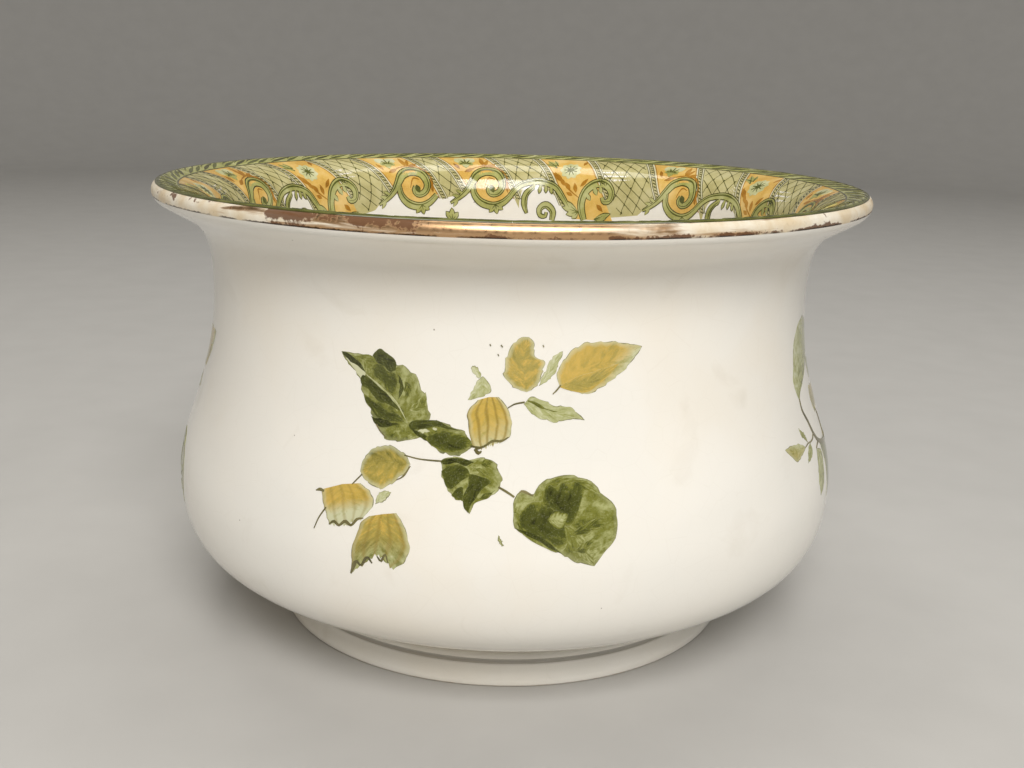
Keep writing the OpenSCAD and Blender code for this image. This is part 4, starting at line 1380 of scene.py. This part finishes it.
def leafGrid(shape, toWall=onFlatWall):
    # a grid of places over one leaf, its leaf map and its wash
    rows, columns = spray["budGrid" if "jag" in shape else "strokeGrid" if "soft" in shape else "leafGrid"]
    share = np.linspace(0, 1, rows)
    left, right = (smoothLine(toWall(shape[k]), rows) for k in ("left", "right"))
    rib = smoothLine(toWall(shape["rib"]), rows) if "rib" in shape else (left + right) / 2
    toothCount, toothDepth = shape.get("teeth", (1, 0.0))
    saw = (share * toothCount) % 1.0 * toothDepth * np.sin(math.pi * share) ** 0.6
    saw -= toothDepth / 2 * np.sin(math.pi * share)
    for edge in (left, right):
        out = edge - rib
        out /= np.maximum(np.hypot(*out.T), 0.3)[:, None]
        edge += out * (unsteady(rows, spray["edgeWander"]) + saw)[:, None]
    spread = np.linspace(-1, 1, columns + 1)[None, :, None]
    grid = np.where(spread < 0, rib[:, None] + (left - rib)[:, None] * -spread,
                    rib[:, None] + (right - rib)[:, None] * spread)
    if "jag" in shape:
        # a bud's torn lower end
        teeth = [brush.uniform(-0.2, 1.0) * shape["jag"] * (k % 2 * 2 - 1) for k in range(columns + 1)]
        pull = (rib[-1] - rib[0]) / np.hypot(*(rib[-1] - rib[0]))
        grid += (share[:, None, None] ** 6) * np.array(teeth)[None, :, None] * pull
    leftHalf, rightHalf = (np.hypot(*(edge - rib).T)[:, None] for edge in (left, right))
    half = np.where(spread[..., 0] < 0, leftHalf, rightHalf)
    u = share[:, None] + 0 * half
    v = spread[..., 0] + 0 * half
    tints = (shape["dark"], shape.get("yellow", (0, 0, 0)))
    fields = [bias + slope * u + side * v for bias, slope, side in tints]
    fields[0] -= shape.get("soft", 0.0) * np.maximum(np.abs(v), np.abs(2 * u - 1)) ** 3
    width = half / spray["widthUnit"] + (2.0 if "soft" in shape else 0.0)   # touches have no printed outline
    wash = np.stack(fields + [width, np.full_like(half, shape.get("stripe", 0.0))], -1)
    return grid, np.stack([u, v], -1), wash


leaves = {}
for name, shape in {**frontLeaves, **frontBuds}.items():
    leaves[name] = [leafGrid(shape)]
    for tone, soft, left, right in shape.get("strokes", []):
        touch = {"left": left, "right": right, "dark": (tone, 0, 0),
                 "yellow": (shape.get("strokeYellow", 0.0), 0, 0), "soft": soft}
        leaves[name].append(leafGrid(touch))
stalks = [(name, onFlatWall(points), widths) for name, points, widths in frontStalks]
sprayMiddle = np.mean([grids[0][0].reshape(-1, 2).mean(0) for name, grids in leaves.items()
                       if name != "looseTouch"], 0)
leafSheet, stalkSheet = newSheet(), newSheet()


def asDrawn(points):
    return points


def printLeaf(grids, toPlace, lift):
    firstTouch, nextTouch = spray["touchLift"]
    for k, (grid, leafUv, wash) in enumerate(grids):
        spot = toPlace(grid)
        height = spray["lift"] + lift + (firstTouch + nextTouch * k if k else 0)
        addPatch(leafSheet, spot[..., 0] / measure, spot[..., 1], height, leaf=leafUv, wash=wash)


def printStalk(points, widths):
    edges = np.stack(strokeEdges(points, [spray["stalkShare"] * width for width in widths], 0.6), 1)
    addPatch(stalkSheet, edges[..., 0] / measure, edges[..., 1], spray["lift"] + spray["stalkLift"])


def printSpray(toPlace, without=()):
    for k, (name, grids) in enumerate(leaves.items()):
        if name not in without:
            printLeaf(grids, toPlace, spray["leafStep"] * k)
    for name, points, widths in stalks:
        if name not in without:
            printStalk(toPlace(points), widths)


printSpray(asDrawn)
for shape in sideLeaves.values():
    printLeaf([leafGrid(shape, onTurnedWall)], asDrawn, 0)
for points, widths in sideStalks:
    printStalk(onTurnedWall(points), widths)
for degrees, rise, turn, without in otherSprays:
    across, up = aim(math.radians(turn))
    spin = np.array([[across, up], [-up, across]])
    middle = np.array([math.radians(degrees) * measure, sprayMiddle[1] + rise])
    printSpray(lambda grid: (grid - sprayMiddle) @ spin + middle, without)
sheetPiece("leafSprays", leafSheet, leafPrint, "green_print", withLeaf=True)
stalkPrint = underglazePrint("stalkPrint", "#66603A", "#4E4A2A", "#857D54")
sheetPiece("leafStalks", stalkSheet, stalkPrint, "green_print")
print("sprays printed,", leafSheet["count"] + stalkSheet["count"], "points")


# studio: a pale paper floor that bends up all round, a soft light in front, one above and weak fills beside
studio = {
    "paper": ("#BBB9B5", "#BFBDB9"),
    "mottle": 30,         # mm
    "paperRoughness": 0.85,
    "floorRadius": 1.7,   # metres
    "bendRadius": 0.7,
    "bendSteps": 17,
    "wallHeight": 2.8,
    "sides": 96,
    "airColour": "#F4F3F0",
    "airLight": 0.06,
    # each light: place, target, size, power and colour
    "keyLight": ((0.15, -1.4, 1.36), (0, 0, 0.06), (1.1, 0.8), 34.0, "#FFFDFA"),
    "topLight": ((0.0, 0.35, 1.5), (0, 0, 0.1), (1.2, 0.7), 9.0, "#FFFDF8"),
    "rightFill": ((1.7, -0.6, 0.9), (0, 0, 0.08), (1.4, 1.4), 2.0, "#F6F8FF"),
    "leftFill": ((-1.7, -0.6, 0.9), (0, 0, 0.08), (1.4, 1.4), 1.2, "#FFF0DC"),
}
# Matte paper: pulped fibre rolled into a sheet, so it is dull and faintly mottled.
mattePaper, tree, place = startMaterial("mattePaper")
mottle = addNode(tree, "TexNoise", {"Vector": place, "Scale": 1 / (studio["mottle"] * mm), "Detail": 5})
paper = addNode(tree, "ValToRGB", {"Fac": mottle}, stops=list(zip((0.3, 0.7), studio["paper"])))
shade = addNode(tree, "BsdfPrincipled", {"Base Color": paper, "Roughness": studio["paperRoughness"]})
addNode(tree, "OutputMaterial", {"Surface": shade})
bend = np.linspace(0, math.pi / 2, studio["bendSteps"])
sweepRadius = np.r_[studio["floorRadius"] + studio["bendRadius"] * np.sin(bend),
                    studio["floorRadius"] + studio["bendRadius"]]
sweepHeight = np.r_[studio["bendRadius"] * (1 - np.cos(bend)), studio["wallHeight"]]
sides = studio["sides"]
turn = np.linspace(0, 2 * math.pi, sides, endpoint=False)
sweepVerts = [(radius * math.cos(a), radius * math.sin(a), height)
              for radius, height in zip(sweepRadius, sweepHeight) for a in turn]
sweepFaces = ringFaces(len(sweepRadius), sides) + [tuple(range(sides))]   # last, the flat floor
sweepMesh = bpy.data.meshes.new("studioSweep")
sweepMesh.from_pydata(sweepVerts, [], sweepFaces)
sweepMesh.polygons.foreach_set("use_smooth", [True] * (len(sweepFaces) - 1) + [False])
sweepMesh.materials.append(mattePaper)
sweep = bpy.data.objects.new("studioSweep", sweepMesh)
bpy.context.collection.objects.link(sweep)
for name in ("keyLight", "topLight", "rightFill", "leftFill"):
    spot, target, size, power, colour = studio[name]
    data = bpy.data.lights.new(name, "AREA")
    data.shape = "RECTANGLE"
    data.size, data.size_y = size
    data.energy = power
    data.color = hexColour(colour)[:3]
    lamp = bpy.data.objects.new(name, data)
    lamp.location = spot
    lamp.rotation_euler = (Vector(target) - Vector(spot)).to_track_quat("-Z", "Y").to_euler()
    bpy.context.collection.objects.link(lamp)
world = bpy.data.worlds.new("studioAir")
world.use_nodes = True
air = world.node_tree.nodes["Background"].inputs
air["Color"].default_value = hexColour(studio["airColour"])
air["Strength"].default_value = studio["airLight"]
bpy.context.scene.world = world
bpy.context.scene.view_settings.view_transform = "Standard"
print("studio lit")
